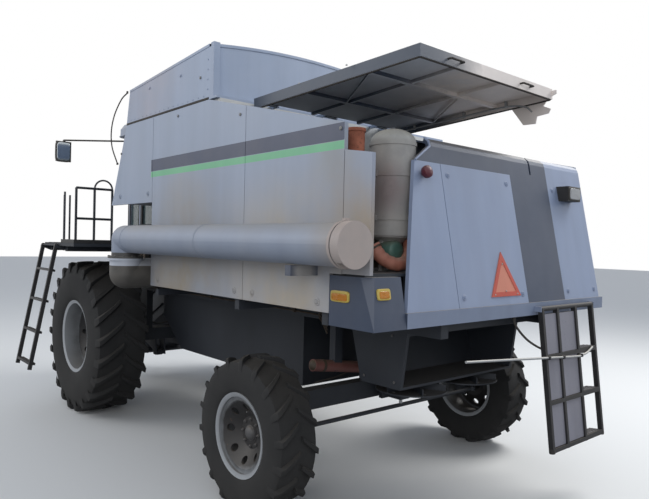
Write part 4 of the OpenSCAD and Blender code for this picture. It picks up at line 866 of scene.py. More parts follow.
engine_belt, pulleys = belt_drive(830, [(3780, 2200, 112), (3600, 2480, 46), (3960, 2450, 60)], 34, 6, 40,
                                  (700, 832), 16, 10)
piece("engine_belt", [engine_belt], black_rubber)
piece("engine_pulleys", pulleys, cast_iron)
fins = [(i * 9.0, 78 - 6 * (i % 2)) for i in range(16)]
piece("alternator", [turned([(0, 30)] + [(8 + a, r) for a, r in fins] + [(160, 40)], (640, 3600, 2480)),
                     box((660, 700), (3560, 3640), (2380, 2420))], zinc)
cans = [turned([(0, 30), (2, 52), (20, 55), (150, 55), (165, 48), (172, 20), (176, 4)], (x, 4120, 2440),
               DOWN, 24) for x in (-180, -40)]
piece("fuel_filters", cans + [box((-240, 20), (4050, 4150), (2440, 2470))], dark_red)
pump = [box((150, 430), (4062, 4150), (2330, 2440)),
        turned([(0, 62), (60, 62), (66, 50)], (430, 4110, 2385)), box((170, 410), (4075, 4135), (2440, 2462))]
piece("injection_pump", pump, cast_iron, bevel=5)
pipes = []
for k in range(6):
    x0, x1 = 190 + k * 42, -200 + k * 150
    pipes.append(pipe([(x0, 4105, 2462), (x0, 4110, 2560 + 8 * k), ((x0 + x1) / 2, 4090, 2640 + 6 * k),
                       (x1, 4020, 2665), (x1, 3960, 2650)], 5, 6))
piece("injection_pipes", pipes, zinc)
covers = [(x, y, 2730) for x in np.arange(-230, 660, 110) for y in (3640, 3870)]
block = [(x, 3501, z) for x in (-300, -100, 100, 300, 500, 700) for z in (2050, 2440)]
piece("cover_bolts", [heads(covers, UP, 11, 9), heads(block, AHEAD, 12, 10)], cast_iron)
swirl = [(0, 40), (0, 96), (18, 118), (46, 126), (74, 118), (92, 96), (104, 62), (150, 60), (150, 52),
         (110, 40)]
piece("turbocharger", [turned(swirl, (640, 4121, 2500)),
                       turned([(0, 50), (6, 108), (50, 116), (94, 100), (100, 44)], (560, 4121, 2500),
                              RIGHT)], cast_iron)
elbow = curve([(742, 4430, 2640), (700, 4330, 2655), (760, 4230, 2600), (800, 4160, 2530),
               (800, 4121, 2500)], 8)
wrinkle = 62 + 3.0 * sin(np.arange(len(elbow)) * 1.6)
piece("intake_elbow", [tube(elbow, wrinkle, 20)], black_rubber)
outlet = pipe([(480, 4121, 2500), (400, 4150, 2460), (420, 4200, 2380), (640, 4200, 2330), (950, 4100, 2325),
               (1240, 4012, 2330)], 52, sides=20)
piece("exhaust_elbow", [outlet, band((1150, 4038, 2328), (1, -0.3, 0), 62, 16, 0, 16, 20)], rust)
piece("exhaust_collars", [band((1240, 4430, 2330), UP, 60, 7, z, z + 22) for z in (120, 330, 528)], rust)
hoses = [pipe(path, 27, sides=14) for path in (
    [(-240, 3640, 2690), (-330, 3640, 2740), (-520, 3680, 2730), (-800, 3720, 2690), (-958, 3740, 2640)],
    [(-350, 3900, 2060), (-480, 3980, 2010), (-700, 4020, 2010), (-958, 4040, 2060)])]
piece("coolant_hoses", hoses, black_rubber)
looms = [[(1120, 3300, 1915), (1120, 3700, 1912), (1050, 4000, 1914), (850, 4110, 1960),
          (780, 4140, 2200), (700, 4090, 2400)],
         [(-560, 3300, 1912), (-500, 3450, 1930), (-380, 3480, 2200), (-330, 3480, 2560), (-100, 3480, 2600)],
         [(1380, 3300, 1912), (1390, 3900, 1912), (1380, 4400, 1912), (1330, 4700, 1912)]]
piece("wiring_looms", [pipe(path, 9) for path in looms], black_plastic)
print("engine fittings,", len(finished), "pieces so far")

# %% [markdown]
# In the open corner behind the engine hang the air cleaner, so dusty that it has taken the colour of
# straw, a teal reservoir under it, and a curved orange duct of silicone hose.

# %% The open corner
CLEANER = (900, 4460, 2150)
bands = [band(CLEANER, UP, 165, 6, z, z + 24, 40) for z in (110, 420, 640)]
snaps = [shift(box((-8, 8), (-15, 15), (-6, 34)), np.add(CLEANER, (across, 0, z)))
         for z in (110, 420) for across in (-171, 171)]
piece("air_cleaner_bands", bands + snaps, straw_dust_and_painted_light)
bowl = turned([(0, 150), (12, 150), (20, 120), (60, 70), (90, 62), (96, 40), (98, 4)], CLEANER, DOWN, 28)
piece("air_cleaner_bowl", [bowl], straw_dust_and_painted_light)
tank = turned([(0, 4), (4, 40), (14, 66), (30, 76), (190, 76), (206, 66), (216, 40), (220, 4)],
              (955, 4370, 2040), BACK, 28)
piece("teal_reservoir", [tank, turned([(0, 24), (40, 24), (44, 18)], (955, 4460, 2110), UP, 16)], teal)
duct = curve([(1120, 4500, 2080), (1085, 4545, 2000), (1010, 4590, 1955), (915, 4600, 1960),
              (840, 4580, 2030), (800, 4550, 2140), (790, 4530, 2230)], 9)
ripple = 47 + 1.6 * sin(np.arange(len(duct)) * 1.25)
piece("orange_duct", [tube(duct, ripple, 22)], hot_orange)
piece("duct_clamps", [band(duct[k], duct[k + 1] - duct[k - 1], 47, 4, -7, 7, 24)
                      for k in (2, len(duct) - 3)], cast_iron)
knob = turned([(0, 10), (0, 14), (34, 14), (36, 30), (48, 42), (66, 46), (84, 42), (96, 26), (99, 4)],
              (845, 4670, 2585), (0, 0.98, 0.2), 20)
piece("corner_knob", [knob], dark_red)
tray = [box((1100, 1440), (4120, 4330), (1901, 2090)), box((1092, 1448), (4112, 4338), (2090, 2104))]
posts = [turned([(0, 14), (26, 14), (28, 10)], (x, 4180, 2104), UP, 12) for x in (1160, 1380)]
piece("battery", tray + posts, black_plastic, bevel=8)
print("corner filled")

# %% [markdown]
# Lamps, the warning triangle and the mirrors lie on faces of the machine, and some of those faces
# lean. Each is made flat, as a shape with its own right, up and outward directions, and then laid
# on its face. A lens is a rounded rectangle whose rings shrink as they rise.

# %% Lenses, triangle and mirror glass
REAR_Y, SKIRT_Z, REAR_LEAN = 4900, 1550, 0.2
LEAN = (0, -REAR_LEAN, 1)


def superellipse(wide, high, power, steps):
    """A rounded rectangle: the cosine and the sine of a turn, each raised to a power below 1."""
    a = angles(steps)
    c, s = cos(a), sin(a)
    return np.stack([wide / 2 * np.sign(c) * np.abs(c) ** power,
                     high / 2 * np.sign(s) * np.abs(s) ** power], -1)


def pillow(wide, high, deep, power=0.35, ribs=0, steps=56):
    """A closed lens: the outline is a superellipse, each ring is the outline times a scale, and
    ribs adds a cosine across the top rings."""
    outline = superellipse(wide, high, power, steps)
    scale = np.array([1, 1, 0.99, 0.96, 0.88, 0.7, 0.45, 0.2, 0.01])[:, None]
    rise = np.array([-0.3, 0.35, 0.7, 0.92, 1.0, 1.05, 1.08, 1.1, 1.1])[:, None] * deep
    x, y = scale * outline[:, 0], scale * outline[:, 1]
    z = rise + 0.8 * cos(2 * pi * ribs * x / wide) * (rise >= deep * 0.92) * (ribs > 0)
    return grid(np.stack([x, y, z + 0 * x], -1), cap=True)


def lay(part, origin, right, up):
    """The part's own x, y and z laid along right, up and their cross product, from the origin."""
    r, u = unit(right), unit(up)
    return part[0] @ np.stack([r, u, np.cross(r, u)]) + np.asarray(origin, float), part[1]


def loop(wide, high, corner, r, sides=8):
    """A rubber seal: a tube carried round a rounded rectangle."""
    a = np.linspace(0, pi / 2, 5)
    quarter = corner * np.stack([cos(a), sin(a)], -1) + [wide / 2 - corner, high / 2 - corner]
    path = np.concatenate([quarter, quarter[::-1] * [-1, 1], -quarter, quarter[::-1] * [1, -1]])
    return tube(np.column_stack([path, np.zeros(len(path))]), r, sides, closed=True)


def tail(x, z, out=0):
    """A point on the rear face's leaning plane, and so far outside it."""
    return [x, REAR_Y - (z - SKIRT_Z) * REAR_LEAN + out, z]


yellow_lens = clear("yellow_acrylic_lens", "#D9BE5A", 0.2, 0.15)
lamps = [((1500, 4590, 1747.5), BACK, UP, 176), (tail(1380, 1775, 1), RIGHT, LEAN, 118)]
piece("marker_lamp_rims", [lay(pillow(w, 74, 10), *face) for *face, w in lamps], yellow_lens,
      replaces=["marker_lamps"])
piece("marker_lamp_lenses", [lay(shift(pillow(w - 30, 46, 6, ribs=11), (0, -4, 8)), *face)
                             for *face, w in lamps], amber)

outer = np.array([(-198, 0), (198, 0), (0, 343.7)])
inner = (outer - [0, 114.45]) * 0.7 + [0, 114.45]
rings = [np.column_stack([o, np.full(3, h)])
         for o, h in ((outer, 0.2), (outer, 3.5), (inner, 3.5), (inner, 0.2))]
border = grid(np.stack(rings), close_u=True)
piece("sign_border", [lay(border, tail(34, 1712, 4), RIGHT, LEAN)], signal_edge)
piece("sign_rivets", [lay(heads([(0, 40, 3.5), (0, 250, 3.5), (-150, 16, 3.5), (150, 16, 3.5)], UP, 6, 3),
                          tail(34, 1712, 4), RIGHT, LEAN)], zinc)

mirror_glass = weathered("silvered_mirror_glass", "#AEB6BC", DUST, 0.1, 0.05, 0.02, 0.0, metallic=1.0)
piece("mirror_panes", [lay(pillow(168, 240, 3), (x, -875, 3212), RIGHT, UP) for x in (1505, -1365)],
      mirror_glass)
piece("mirror_shells", [lay(pillow(196, 272, 26), (x, -903, 3212), LEFT, UP) for x in (1505, -1365)],
      black_plastic)
faces = [((-1120, 4797, 2575), RIGHT, UP, 214, 124)]
faces += [((CAB_X + x, -949, 3447), LEFT, UP, 148, 102) for x in (-560, -200, 200, 560)]
piece("work_lamp_bezels", [lay(pillow(w, h, 8), *face) for *face, w, h in faces], black_plastic)
piece("work_lamp_lenses", [lay(shift(pillow(w - 32, h - 26, 5, ribs=9), (0, 0, 8)), *face)
                           for *face, w, h in faces], lamp_glass)
small = (latch[0] * 0.8, latch[1])
leaf = [lay(small, tail(x, z), (0, 1, 0.2), RIGHT) for x in (560, -200, -925, -1400) for z in (1722, 2600)]
piece("leaf_latches", leaf, silver_rear)
bend = [tail(908, 2682, 5), tail(730, 2798, 5), (728, 4641, 2836), (728, 4602, 2866)]
piece("band_end_edge", [tube(bend, 9, 8)], silver_rear)
print("lamps, triangle, mirrors")

# %% [markdown]
# The rear ladder's two wide columns are closed with pale sheet, and its third has treads. A bright
# bar is clipped across its outer face, and a hose hangs from under the skirt to its far rail. The
# ladder folds up; the hose rides on the machine, and its clips ride on the ladder.

# %% Rear ladder, bar and hose
LADDER_DEGREES, LADDER_HINGE = 6.62, (0, 4940, 1600)


def on_rear_ladder(part):
    """From the ladder's own place, with its hinge at the origin, to the machine."""
    return shift(turn(part, LADDER_DEGREES), LADDER_HINGE)


sheets = [box((x0, x1), (y, y + 3), (z0, z1)) for x0, x1 in ((-563, -367), (-863, -597)) for y in (-6.2, 3.2)
          for z0, z1 in ((-1090, -761), (-726, -400), (-366, -44))]
piece("rear_ladder_sheets", [on_rear_ladder(p) for p in sheets], ladder_grey, "rear_ladder", bevel=1.5)
# The grips take the light grey of the sheets as a painted highlight for the sun on the treads' tops.
grips = [(x, y, -1127 * f + 25) for f in (0.34, 0.66, 0.985) for x in np.arange(-1140, -900, 38)
         for y in (-72, -40, -8)]
piece("rear_ladder_grips_painted_highlight", [on_rear_ladder(heads(grips, UP, 9, 4))], ladder_grey, "rear_ladder")
feet = [shift(turned([(0, 4), (2, 22), (26, 24), (40, 19)], (0, 0, 0), UP, 12), (x, 0, -1134))
        for x in (-350, -1180)]
piece("rear_ladder_feet", [on_rear_ladder(p) for p in feet], black_rubber, "rear_ladder")
bar = pipe([(730, 5016, 1307), (200, 5017, 1266), (-350, 5018, 1222), (-789, 5021, 1188), (-900, 5021, 1190),
            (-1000, 5019, 1206), (-1085, 5016, 1240)], 9, 5, 10)
piece("rear_bar", [bar], zinc, "rear_ladder")
piece("rear_bar_clips", [box((x - 12, x + 12), (4990, 5034), (z - 14, z + 14))
                         for x, z in ((-350, 1222), (-580, 1204), (-880, 1189))], ladder_black,
      "rear_ladder", bevel=3)
hose_line = pipe([(-75, 4868, 1548), (-92, 4876, 1480), (-190, 4912, 1372), (-330, 4938, 1296),
                  (-430, 4944, 1270), (-620, 4946, 1235), (-880, 4946, 1204), (-1079, 4946, 1186),
                  (-1150, 4950, 1190)], 9, sides=10)
hose = piece("ladder_hose", [hose_line, tube([(-75, 4868, 1556), (-76, 4870, 1520)], 14, 10)], black_rubber)
hose.parent = None
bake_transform(hose)
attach(hose, "machine")
piece("ladder_hose_clips", [box((x - 9, x + 9), (4934, 4966), (z - 12, z + 12))
                            for x, z in ((-880, 1204), (-1165, 1190))], ladder_black, "rear_ladder", bevel=3)
print("rear ladder dressed")

# %% [markdown]
# The left ladder and the platform have raised studs that hold a boot. A chequer of small lozenges
# covers the platform, as on pressed tread plate.

# %% Left ladder and platform
TOP, FOOT = np.array([1922, 1990]), np.array([2183, 600])
OUT, DROP = FOOT[0] - TOP[0], TOP[1] - FOOT[1]
LEAN_OUT, LONG = np.degrees(np.arctan2(OUT, DROP)), np.hypot(OUT, DROP)
studs_on = [(x, y, -LONG * (k - 0.15) / 4 + 25) for k in (1, 2, 3, 4) for x in (-38, -14, 10)
            for y in np.arange(-200, 201, 40)]
piece("left_ladder_grips", [shift(turn(heads(studs_on, UP, 9, 4), -LEAN_OUT, "y"), (TOP[0], 0, TOP[1]))],
      ladder_black, "front_ladder")
lozenge = (np.array([(-20, 0, -1), (0, -6, -1), (20, 0, -1), (0, 6, -1), (-17, 0, 3), (0, -4, 3), (17, 0, 3),
                     (0, 4, 3)], float), [[0, 1, 5, 4], [1, 2, 6, 5], [2, 3, 7, 6], [3, 0, 4, 7],
                                          [4, 5, 6, 7], [3, 2, 1, 0]])
tread = [shift(turn(lozenge, 45 if (i + j) % 2 else -45, "z"), (745 + 46 * i, -222 + 46 * j, 2020))
         for i in range(25) for j in range(21)]
piece("platform_tread", tread, ladder_black)
kick = [box((1886, 1900), (330, 760), (2020, 2062)), box((720, 1888), (746, 760), (2020, 2062))]
piece("platform_kick_strips", kick, ladder_black, bevel=2)
flanges = [turned([(0, 32), (8, 32), (12, 22), (12, 15)], (x, y, 2020), UP, 16)
           for x, y in ((1550, -230), (1325, -230), (1100, -230), (1690, -230), (1625, -230), (1860, 320))]
piece("rail_flanges", flanges, ladder_black)
print("ladders,", len(tread), "lozenges")

# %% [markdown]
# Inside the cab. The seat is foam under woven cloth, so its pads are crowned, their sides pull in
# between the corners, a piped seam runs round them and sewn channels cross them. They could be
# blown up with cloth simulation, but a firm moulded foam keeps the shape it is cut to, so the rings
# of the pad say that shape directly and one subdivision rounds it.

# %% Woven cloth and pads
def woven(name, warp, weft, thread_mm):
    """Cloth: two crossed sine waves say which thread lies on top, and the bump follows them. Real
    threads are 1 mm wide. They are drawn wider so that the weave still shows."""
    finish, tree, shader = blank(name)
    xyz = add(tree, "SeparateXYZ", {}, {0: add(tree, "TexCoord").outputs["Object"]}).outputs
    turns = 2000 * pi / thread_mm
    slope = maths(tree, "ADD", xyz[1], xyz[2])
    waves = [add(tree, "Math", {}, {0: maths(tree, "MULTIPLY", o, turns)}, operation="SINE").outputs[0]
             for o in (xyz[0], slope)]
    cross_wave = maths(tree, "MULTIPLY", *waves)
    share = remap(tree, cross_wave, (-0.6, 0.6))
    cloth = add(tree, "MixRGB", {1: colour(warp), 2: colour(weft)}, {0: share}).outputs[0]
    worn = remap(tree, noise(tree, 5.0, 4.0), (0.4, 0.7), (0.0, 0.35))
    tree.links.new(lay_over(tree, worn, cloth, "#85796A"), shader.inputs["Base Color"])
    bump = add(tree, "Bump", {"Strength": 0.5, "Distance": 0.001}, {"Height": cross_wave})
    tree.links.new(bump.outputs[0], shader.inputs["Normal"])
    shader.inputs["Roughness"].default_value = 0.95
    shader.inputs["Sheen Weight"].default_value = 0.2
    return finish


PAD_STEPS = 72


def pad_outline(wide, high):
    """A rounded rectangle whose sides pull in by up to 3 % between the corners."""
    a = angles(PAD_STEPS)
    return superellipse(wide, high, 0.32, PAD_STEPS) * (1 - 0.03 * cos(2 * a) ** 2)[:, None]


def pad(wide, high, deep, crown, channels=()):
    """A closed cushion: rings of the pad's outline grow over the bottom, bulge round the side,
    are nipped in at the seam and shrink over the crowned top, where channels are soft grooves."""
    outline = pad_outline(wide, high)
    side_scale = [0.02, 0.5, 0.9, 0.965, 0.99, 1.0, 0.985, 0.975, 0.985, 1.0, 0.99, 0.965]
    side_rise = [0, 0, 0, 0.05, 0.2, 0.4, 0.5, 0.53, 0.56, 0.66, 0.86, 0.96]
    top = np.linspace(0.93, 0.02, 18)
    scale = np.concatenate([side_scale, top])[:, None]
    rise = np.concatenate([np.array(side_rise) * deep, deep + crown * (1 - (top / 0.96) ** 2)])[:, None]
    x, y = scale * outline[:, 0], scale * outline[:, 1]
    z = rise + 0 * x
    for channel in channels:
        z = z - 9 * np.exp(-((np.abs(y) - channel) / 9) ** 2) * (rise >= deep)
    return grid(np.stack([x, y, z], -1), cap=True)


def welt(wide, high, z, r=4.5):
    """The piping of a pad: a thin tube that follows the same outline at the seam's height."""
    return tube(np.column_stack([pad_outline(wide, high) * 0.985, np.full(PAD_STEPS, z)]), r, 6, closed=True)


seat_cloth = woven("woven_seat_cloth", "#33373D", "#4A4E54", 9)
BACK_UP = (0, sin(np.radians(8)), cos(np.radians(8)))
PADS = [("seat_cushion", 500, 480, 104, 26, (0, 95), (CAB_X, 260, 2340), LEFT, BACK),
        ("seat_back", 480, 620, 92, 24, (60, 180), (CAB_X, 572, 2769), LEFT, BACK_UP),
        ("armrest_left", 70, 300, 40, 8, (), (215, 330, 2600), LEFT, BACK),
        ("armrest_right", 70, 300, 40, 8, (), (-355, 330, 2600), LEFT, BACK)]
for name, w, h, deep, crown, channels, origin, right, up in PADS:
    cushion = piece(name, [lay(pad(w, h, deep, crown, channels), origin, right, up)], seat_cloth, smooth=80,
                    replaces=["cab_interior"] if name == "seat_cushion" else ())
    soft = cushion.modifiers.new("rounded", "SUBSURF")
    soft.levels = soft.render_levels = 1
piece("seat_piping", [lay(welt(w, h, deep * 0.53), origin, right, up)
                      for _, w, h, deep, _, _, origin, right, up in PADS], black_rubber)
print("4 pads")

# %% [markdown]
# Round the seat: a bellows over its suspension, the console with its levers, the steering column
# and a wheel whose rim is a swept circle.

# %% Cab controls
folds = np.linspace(0, 1, 41)
bellows = turned(np.column_stack([folds * 296, 122 + 14 * cos(folds * 5 * 2 * pi)]),
                 (CAB_X, 275, 2041), UP, 32)
arms = [pipe([(x, 560, 2560), (x, 470, 2592), (x, 330, 2597)], 13, 5) for x in (215, -355)]
piece("seat_stand", [bellows, lay(pillow(430, 400, 24), (CAB_X, 262, 2322), LEFT, BACK)] + arms, black_rubber)
desk = plate([(-150, 2040), (480, 2040), (480, 2600), (60, 2600), (-110, 2530), (-150, 2480)], -590, -395)
piece("console", [desk], black_plastic, bevel=22)
levers = [((-440, 180), 150, 12), ((-490, 230), 110, 10), ((-540, 230), 110, 10)]
sticks = [tube([(x, y, 2592), (x, y - 18, 2600 + h)], 6, 8) for (x, y), h, _ in levers]
knobs = [turned([(0, 6), (6, r + 4), (22, r + 7), (44, r + 3), (54, 4)], (x, y - 18, 2596 + h), UP, 16)
         for (x, y), h, r in levers]
keys = [lay(pillow(20, 14, 4), (-560 + 28 * i, 330 + 26 * j, 2600), LEFT, BACK) for i in range(6)
        for j in range(5)]
piece("console_controls", sticks + knobs + keys, dark_red)
gauge = lay(pillow(210, 140, 22), (-470, -80, 2640), LEFT, (0, 0.3, 1))
piece("gauge_panel", [turn(gauge, 180, "z", (-470, -80, 0)),
                      tube([(-470, -110, 2520), (-470, -90, 2640)], 14, 10)], black_plastic)
column = turned([(0, 72), (30, 70), (60, 44), (360, 40), (640, 34), (690, 30)], (CAB_X, -418, 2041),
                (0, 165, 675), 20)
spokes = [tube([(34 * cos(t), 34 * sin(t), 10), (186 * cos(t), 186 * sin(t), 14)], 9, 8)
          for t in np.radians([90, 210, 330])]
wheel = [tube(circle(48, 192, (0, 0, 14), "z"), 14, 10, closed=True), pillow(96, 96, 20, power=1.0)] + spokes
tilt = (0, cos(np.radians(25)), -sin(np.radians(25)))
piece("steering", [column] + [lay(p, (CAB_X, -250, 2728), LEFT, tilt) for p in wheel], black_plastic)
PEDALS_X = (60, 150)
pedals = [lay(pillow(76, 120, 8, ribs=6), (x, -560, 2150), LEFT, (0, -0.5, 1)) for x in PEDALS_X]
pedals = [turn(pedal, 180, "z", (x, -560, 0)) for pedal, x in zip(pedals, PEDALS_X)]
pedals += [tube([(x, -640, 2050), (x, -566, 2140)], 9, 8) for x in PEDALS_X]
piece("pedals", pedals, black_rubber)
print("cab controls")

# %% [markdown]
# Rubber seals hold the panes, a wiper rests on the windscreen, and a rain gutter and an air grille
# run round the roof.

# %% Cab outside
screen_path = []
for z, order in ((2182, 1), (3438, -1)):
    a = np.linspace(0, pi / 2, 7)[::order]
    left_arc = np.stack([-630 - 220 * cos(a) + 1, -630 - 220 * sin(a), np.full(7, z)], -1)
    right_arc = (left_arc * [-1, 1, 1] + [-140, 0, 0])[::-1]
    screen_path += [left_arc, right_arc][::order]
seals = [tube(np.concatenate(screen_path), 9, 8, closed=True)]
panes = [((710, -435, 2810), BACK, UP, 290, 1260), ((-850, 10, 2980), AHEAD, UP, 1180, 920),
         ((CAB_X, 760, 3080), RIGHT, UP, 1120, 720)]
seals += [lay(loop(w, h, 30, 8), *face) for *face, w, h in panes]
piece("window_seals", seals, black_rubber)
piece("door_seal", [lay(loop(700, 1257, 30, 8), (707, 150, 2748), BACK, UP)], black_rubber, "cab_door")
arm = pipe([(CAB_X, -856, 2150), (-72, -872, 2200), (-180, -852, 2520), (-290, -846, 2760)], 6, 5)
blade = [box((-560, -20), (-846, -834), (2752, 2772)), box((-556, -24), (-836, -829), (2755, 2769))]
piece("wiper", [arm, turned([(0, 20), (14, 20), (20, 12)], (CAB_X, -850, 2150), AHEAD, 14),
                turn(join(blade), 18, "y", (-290, 0, 2762))], black_plastic)
gutter = loop(1648, 1758, 124, 10)
piece("roof_gutter", [lay(gutter, (CAB_X, -90, 3508), LEFT, BACK)], cab_silver)
slats = [box((-380, 240), (772, 792), (3522 + 13 * k, 3526 + 13 * k)) for k in range(5)]
piece("roof_grille", slats + [box((x, x + 8), (770, 788), (3516, 3584)) for x in (-384, -72, 236)],
      black_plastic)
piece("roof_crown", [lay(pillow(1180, 1260, 12, power=0.25), (CAB_X, -90, 3668), LEFT, BACK)], cab_silver)
whip = curve([(500, 640, 3660), (500, 642, 3700), (502, 650, 3800)], 4)
piece("aerial", [tube(whip, np.linspace(5, 2, len(whip)), 8),
                 turned([(0, 22), (10, 22), (26, 12), (40, 7)], (500, 640, 3664), UP, 16)], black_plastic)
print("cab outside")

# %% [markdown]
# Under the body: the belt drive beside the left drive tyre, steel pipes along the rail, bolts on
# the final drives and hitch, and the accumulator's bands and hose.

# %% Drives, pipes and bolts below
side_belt, pulleys = belt_drive(1265, [(640, 1790, 105), (1060, 1930, 130)], 38, 5, 46, (1178, 1300), 24, 14)
piece("side_belt", [side_belt], black_rubber, replaces=["left_drive"])
piece("side_pulleys", pulleys, cast_iron)
rail_pipes = [pipe([(790, 330, z), (790, 360, z), (790, 1800, z), (790, 3400, z), (790, 3560, z - 30),
                    (770, 3640, z - 150)], 7, 6) for z in (1478, 1508, 1538)]
rail_clips = [box((778, 802), (y, y + 26), (1466, 1552)) for y in (420, 1100, 1750, 2500, 3200)]
piece("rail_pipes", rail_pipes + rail_clips, cast_iron)
outer_bolts = heads(circle(12, 195, (1060, 0, 900)), LEFT, 13, 9)
inner_bolts = heads(circle(12, 205, (880, 0, 900)), RIGHT, 13, 9)
piece("final_drive_bolts", [outer_bolts, inner_bolts, flip(outer_bolts), flip(inner_bolts)], wheel_bolts)
ends = np.array([[990, 3720, 1100], [280, 3720, 1000]], float)
line = unit(ends[1] - ends[0])
bands = [band(ends[0], line, 48, 4, d, d + 26) for d in (90, 560)]
caps = [turned([(-20, 14), (-14, 30), (0, 44), (6, 48)], ends[0], line, 24),
        turned([(0, 48), (8, 44), (30, 30), (48, 16), (62, 14)], ends[1], line, 24)]
feed = pipe([ends[1] + line * 60, ends[1] + line * 110 + [0, 0, -14], (130, 3735, 1040), (140, 3745, 1240),
             (250, 3740, 1440)], 11, 7, 10)
piece("accumulator_fittings", bands + caps + [feed], cast_iron)
pin = [turned([(0, 15), (190, 15), (196, 11)], (0, 3790, 655), UP, 16),
       pipe([(0, 3790, 850), (30, 3790, 890), (0, 3790, 930), (-30, 3790, 890), (0, 3790, 850)], 5, 6)]
piece("hitch_pin", pin, zinc)
brakes = [pipe([(x, 130, 945), (x * 1.2, 150, 1010), (x * 1.6, 120, 1000), (x * 2.1, 60, 1120),
                (x * 2.15, 20, 1140)], 8, 6) for x in (-400, 400)]
piece("axle_hoses", brakes + [pipe([(60, 3420, 1200), (110, 3400, 1010), (380, 3440, 905), (760, 3478, 880)],
                                   8, 7)], black_rubber)
print("drives, pipes and bolts")

# %% [markdown]
# The feeder house carries the crop up with slats on three chains round a drum. Its front frame,
# which takes the header, is bolted on. The section's own directions, along and across it, place
# every part.

# %% Feeder house
FEEDER_DEGREES, PIVOT = 27, (120, 1640)
DRUM_U, DRUM_V, CHAIN_R, TOP_RUN = 1780, -190, 125.0, 700.0
FRAME_U = 1964


def feeder(u, v, x=0.0):
    """A point of the feeder house: u forward and down along it, v across it, turned about its
    pivot."""
    c, s = cos(np.radians(FEEDER_DEGREES)), sin(np.radians(FEEDER_DEGREES))
    return np.array([x, PIVOT[0] - u * c - v * s, PIVOT[1] - u * s + v * c])


def track(d):
    """The chain's path round its drum, d along it from the top run's rear end: straight, half a
    circle, and straight back. Gives u, v and the outward direction's angle."""
    if d < TOP_RUN:
        return DRUM_U - TOP_RUN + d, DRUM_V + CHAIN_R, 90.0
    d = d - TOP_RUN
    if d < pi * CHAIN_R:
        angle = 90 - np.degrees(d / CHAIN_R)
        return DRUM_U + CHAIN_R * cos(np.radians(angle)), DRUM_V + CHAIN_R * sin(np.radians(angle)), angle
    return DRUM_U - (d - pi * CHAIN_R), DRUM_V - CHAIN_R, -90.0


drum = turned([(-430, 40), (-430, 108), (-424, 112), (424, 112), (430, 108), (430, 40)],
              feeder(DRUM_U, DRUM_V), LEFT, 36)
slats_on = []
for d in np.arange(40, 1750, 148):
    u, v, angle = track(d)
    slat = join([box((-425, 425), (-24, 24), (0, 7)), box((-425, 425), (17, 24), (7, 40))])
    slats_on.append(shift(turn(slat, 90 - angle + FEEDER_DEGREES), feeder(u, v)))
chain_path = np.array([feeder(*track(d)[:2]) for d in np.linspace(0, 1785, 60)])
chains = [sweep(chain_path + [x, 0, 0], [(-14, -6), (14, -6), (14, 6), (-14, 6)]) for x in (-390, 0, 390)]
piece("feeder_chain", [drum] + slats_on + chains, cast_iron, "feeder_house")
front_bolts = [feeder(FRAME_U, v, x) for v in (40, -440) for x in np.arange(-560, 561, 140)]
front_bolts += [feeder(FRAME_U, v, x) for v in (-100, -200, -300) for x in (-560, 560)]
toward = feeder(1, 0) - feeder(0, 0)
piece("feeder_bolts", [heads(front_bolts, toward, 13, 9)], wheel_bolts, "feeder_house")
stiffeners = [sweep([feeder(300, v, s * 486), feeder(1840, v, s * 486)],
                    [(-8, -14), (8, -14), (8, 14), (-8, 14)]) for v in (-60, -300) for s in (-1, 1)]
top_ribs = [sweep([feeder(u, 38, -440), feeder(u, 38, 440)], [(-10, -9), (10, -9), (10, 9), (-10, 9)])
            for u in (500, 900, 1300, 1700)]
piece("feeder_ribs", stiffeners + top_ribs, frame_black, "feeder_house", bevel=2)
print("feeder house,", len(slats_on), "slats")

# %% [markdown]
# The right side's round screen keeps chaff off the radiator while it turns. Wire mesh covers its
# holes, and a suction arm stands just off it. Inside, the radiator's fins show from the engine.

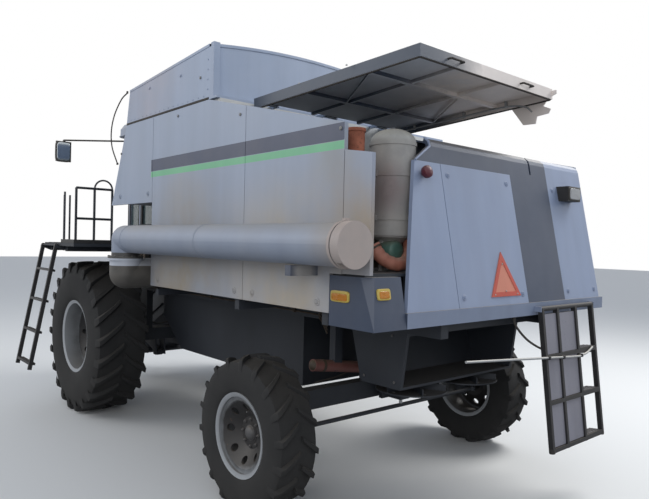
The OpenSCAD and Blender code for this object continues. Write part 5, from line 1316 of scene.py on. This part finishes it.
# %% Rotary screen, arm, fins and straps
SCREEN = (4010, 2400)
wires = [tube(circle(48, r, (-1502, *SCREEN)), 2.5, 6, closed=True) for r in np.arange(92, 430, 28)]
wires += [tube(ends, 2.5, 6) for ends in zip(*(circle(48, r, (-1504, *SCREEN)) for r in (72, 426)))]
piece("screen_mesh", wires, screen_grey, "rotary_screen")
suction = plate([(3975, 2480), (4045, 2480), (4052, 2880), (3968, 2880)], -1552, -1530)
foot = box((-1552, -1498), (3955, 4065), (2872, 2900))
hub_cap = turned([(0, 60), (14, 60), (26, 40), (28, 4)], (-1515, *SCREEN), RIGHT, 24)
piece("suction_arm", [suction, foot], frame_black, bevel=4)
piece("screen_hub_cap", [hub_cap], black_plastic, "rotary_screen")
fins_on = [box((-1002, -992), (y, y + 2.5), (1964, 2716)) for y in np.arange(3590, 4436, 14)]
tanks = [box((-1010, -965), (3586, 4434), z) for z in ((1960, 2010), (2672, 2720))]
piece("radiator_fins", fins_on + tanks, black_plastic)
straps = [box((-1404, -816), (y, y + 42), (1597, 1883)) for y in (3600, 4130)]
piece("fuel_tank_straps", straps, zinc, bevel=3)
louvres = [box((-1506, -1497), (2000, 2320), (z, z + 12)) for z in np.arange(2600, 2800, 26)]
piece("right_louvres", louvres, silver_side, bevel=2)
print("right side")

# %% [markdown]
# Last, the small fixings of the unloading auger, the tank, the discharge housing and its spreaders.

# %% Auger, tank and housing fixings
TUBE_X = 1670
ring_bolts = heads(circle(12, 160, (TUBE_X, 1590, 1910), "z"), UP, 11, 8)


def weld(y, r, wide):
    """A bead of weld or a clamp round the unloading tube."""
    return band((TUBE_X, y, 2080), BACK, r, 3, -wide, wide, 40)


piece("auger_fittings", [ring_bolts, weld(3180, 134.5, 7), weld(3196, 134.5, 7), weld(1760, 134.5, 5)],
      tube_silver_painted_shade, "auger")
piece("boot_clamp", [weld(4812, 143.5, 11), box((1650, 1690), (4800, 4824), (2222, 2240))], boot_dust,
      "auger")
rungs = [pipe([(1440, 2560, z), (1400, 2560, z), (1400, 2860, z), (1440, 2860, z)], 10, 1)
         for z in (2500, 2750, 3000, 3230)]
piece("tank_rungs", rungs, zinc)
seam_bolts = heads([(740, y, z)
                    for y, z in ((3960, 1400), (4150, 1400), (4350, 1400), (4060, 1050), (4380, 1050))],
                   LEFT, 11, 8)
piece("housing_bolts", [seam_bolts, flip(seam_bolts)], wheel_bolts)
for side, x in (("left", 350), ("right", -350)):
    blades = [(x + r * cos(t), 4210 + r * sin(t), 926) for t in angles(6) + 0.12 for r in (90, 240)]
    hub = turned([(0, 45), (4, 62), (12, 62), (16, 40)], (x, 4210, 984), UP, 20)
    piece("spreader_fittings_" + side, [heads(blades, UP, 10, 7), hub], wheel_bolts, "spreader_" + side)
print(len(finished), "pieces")
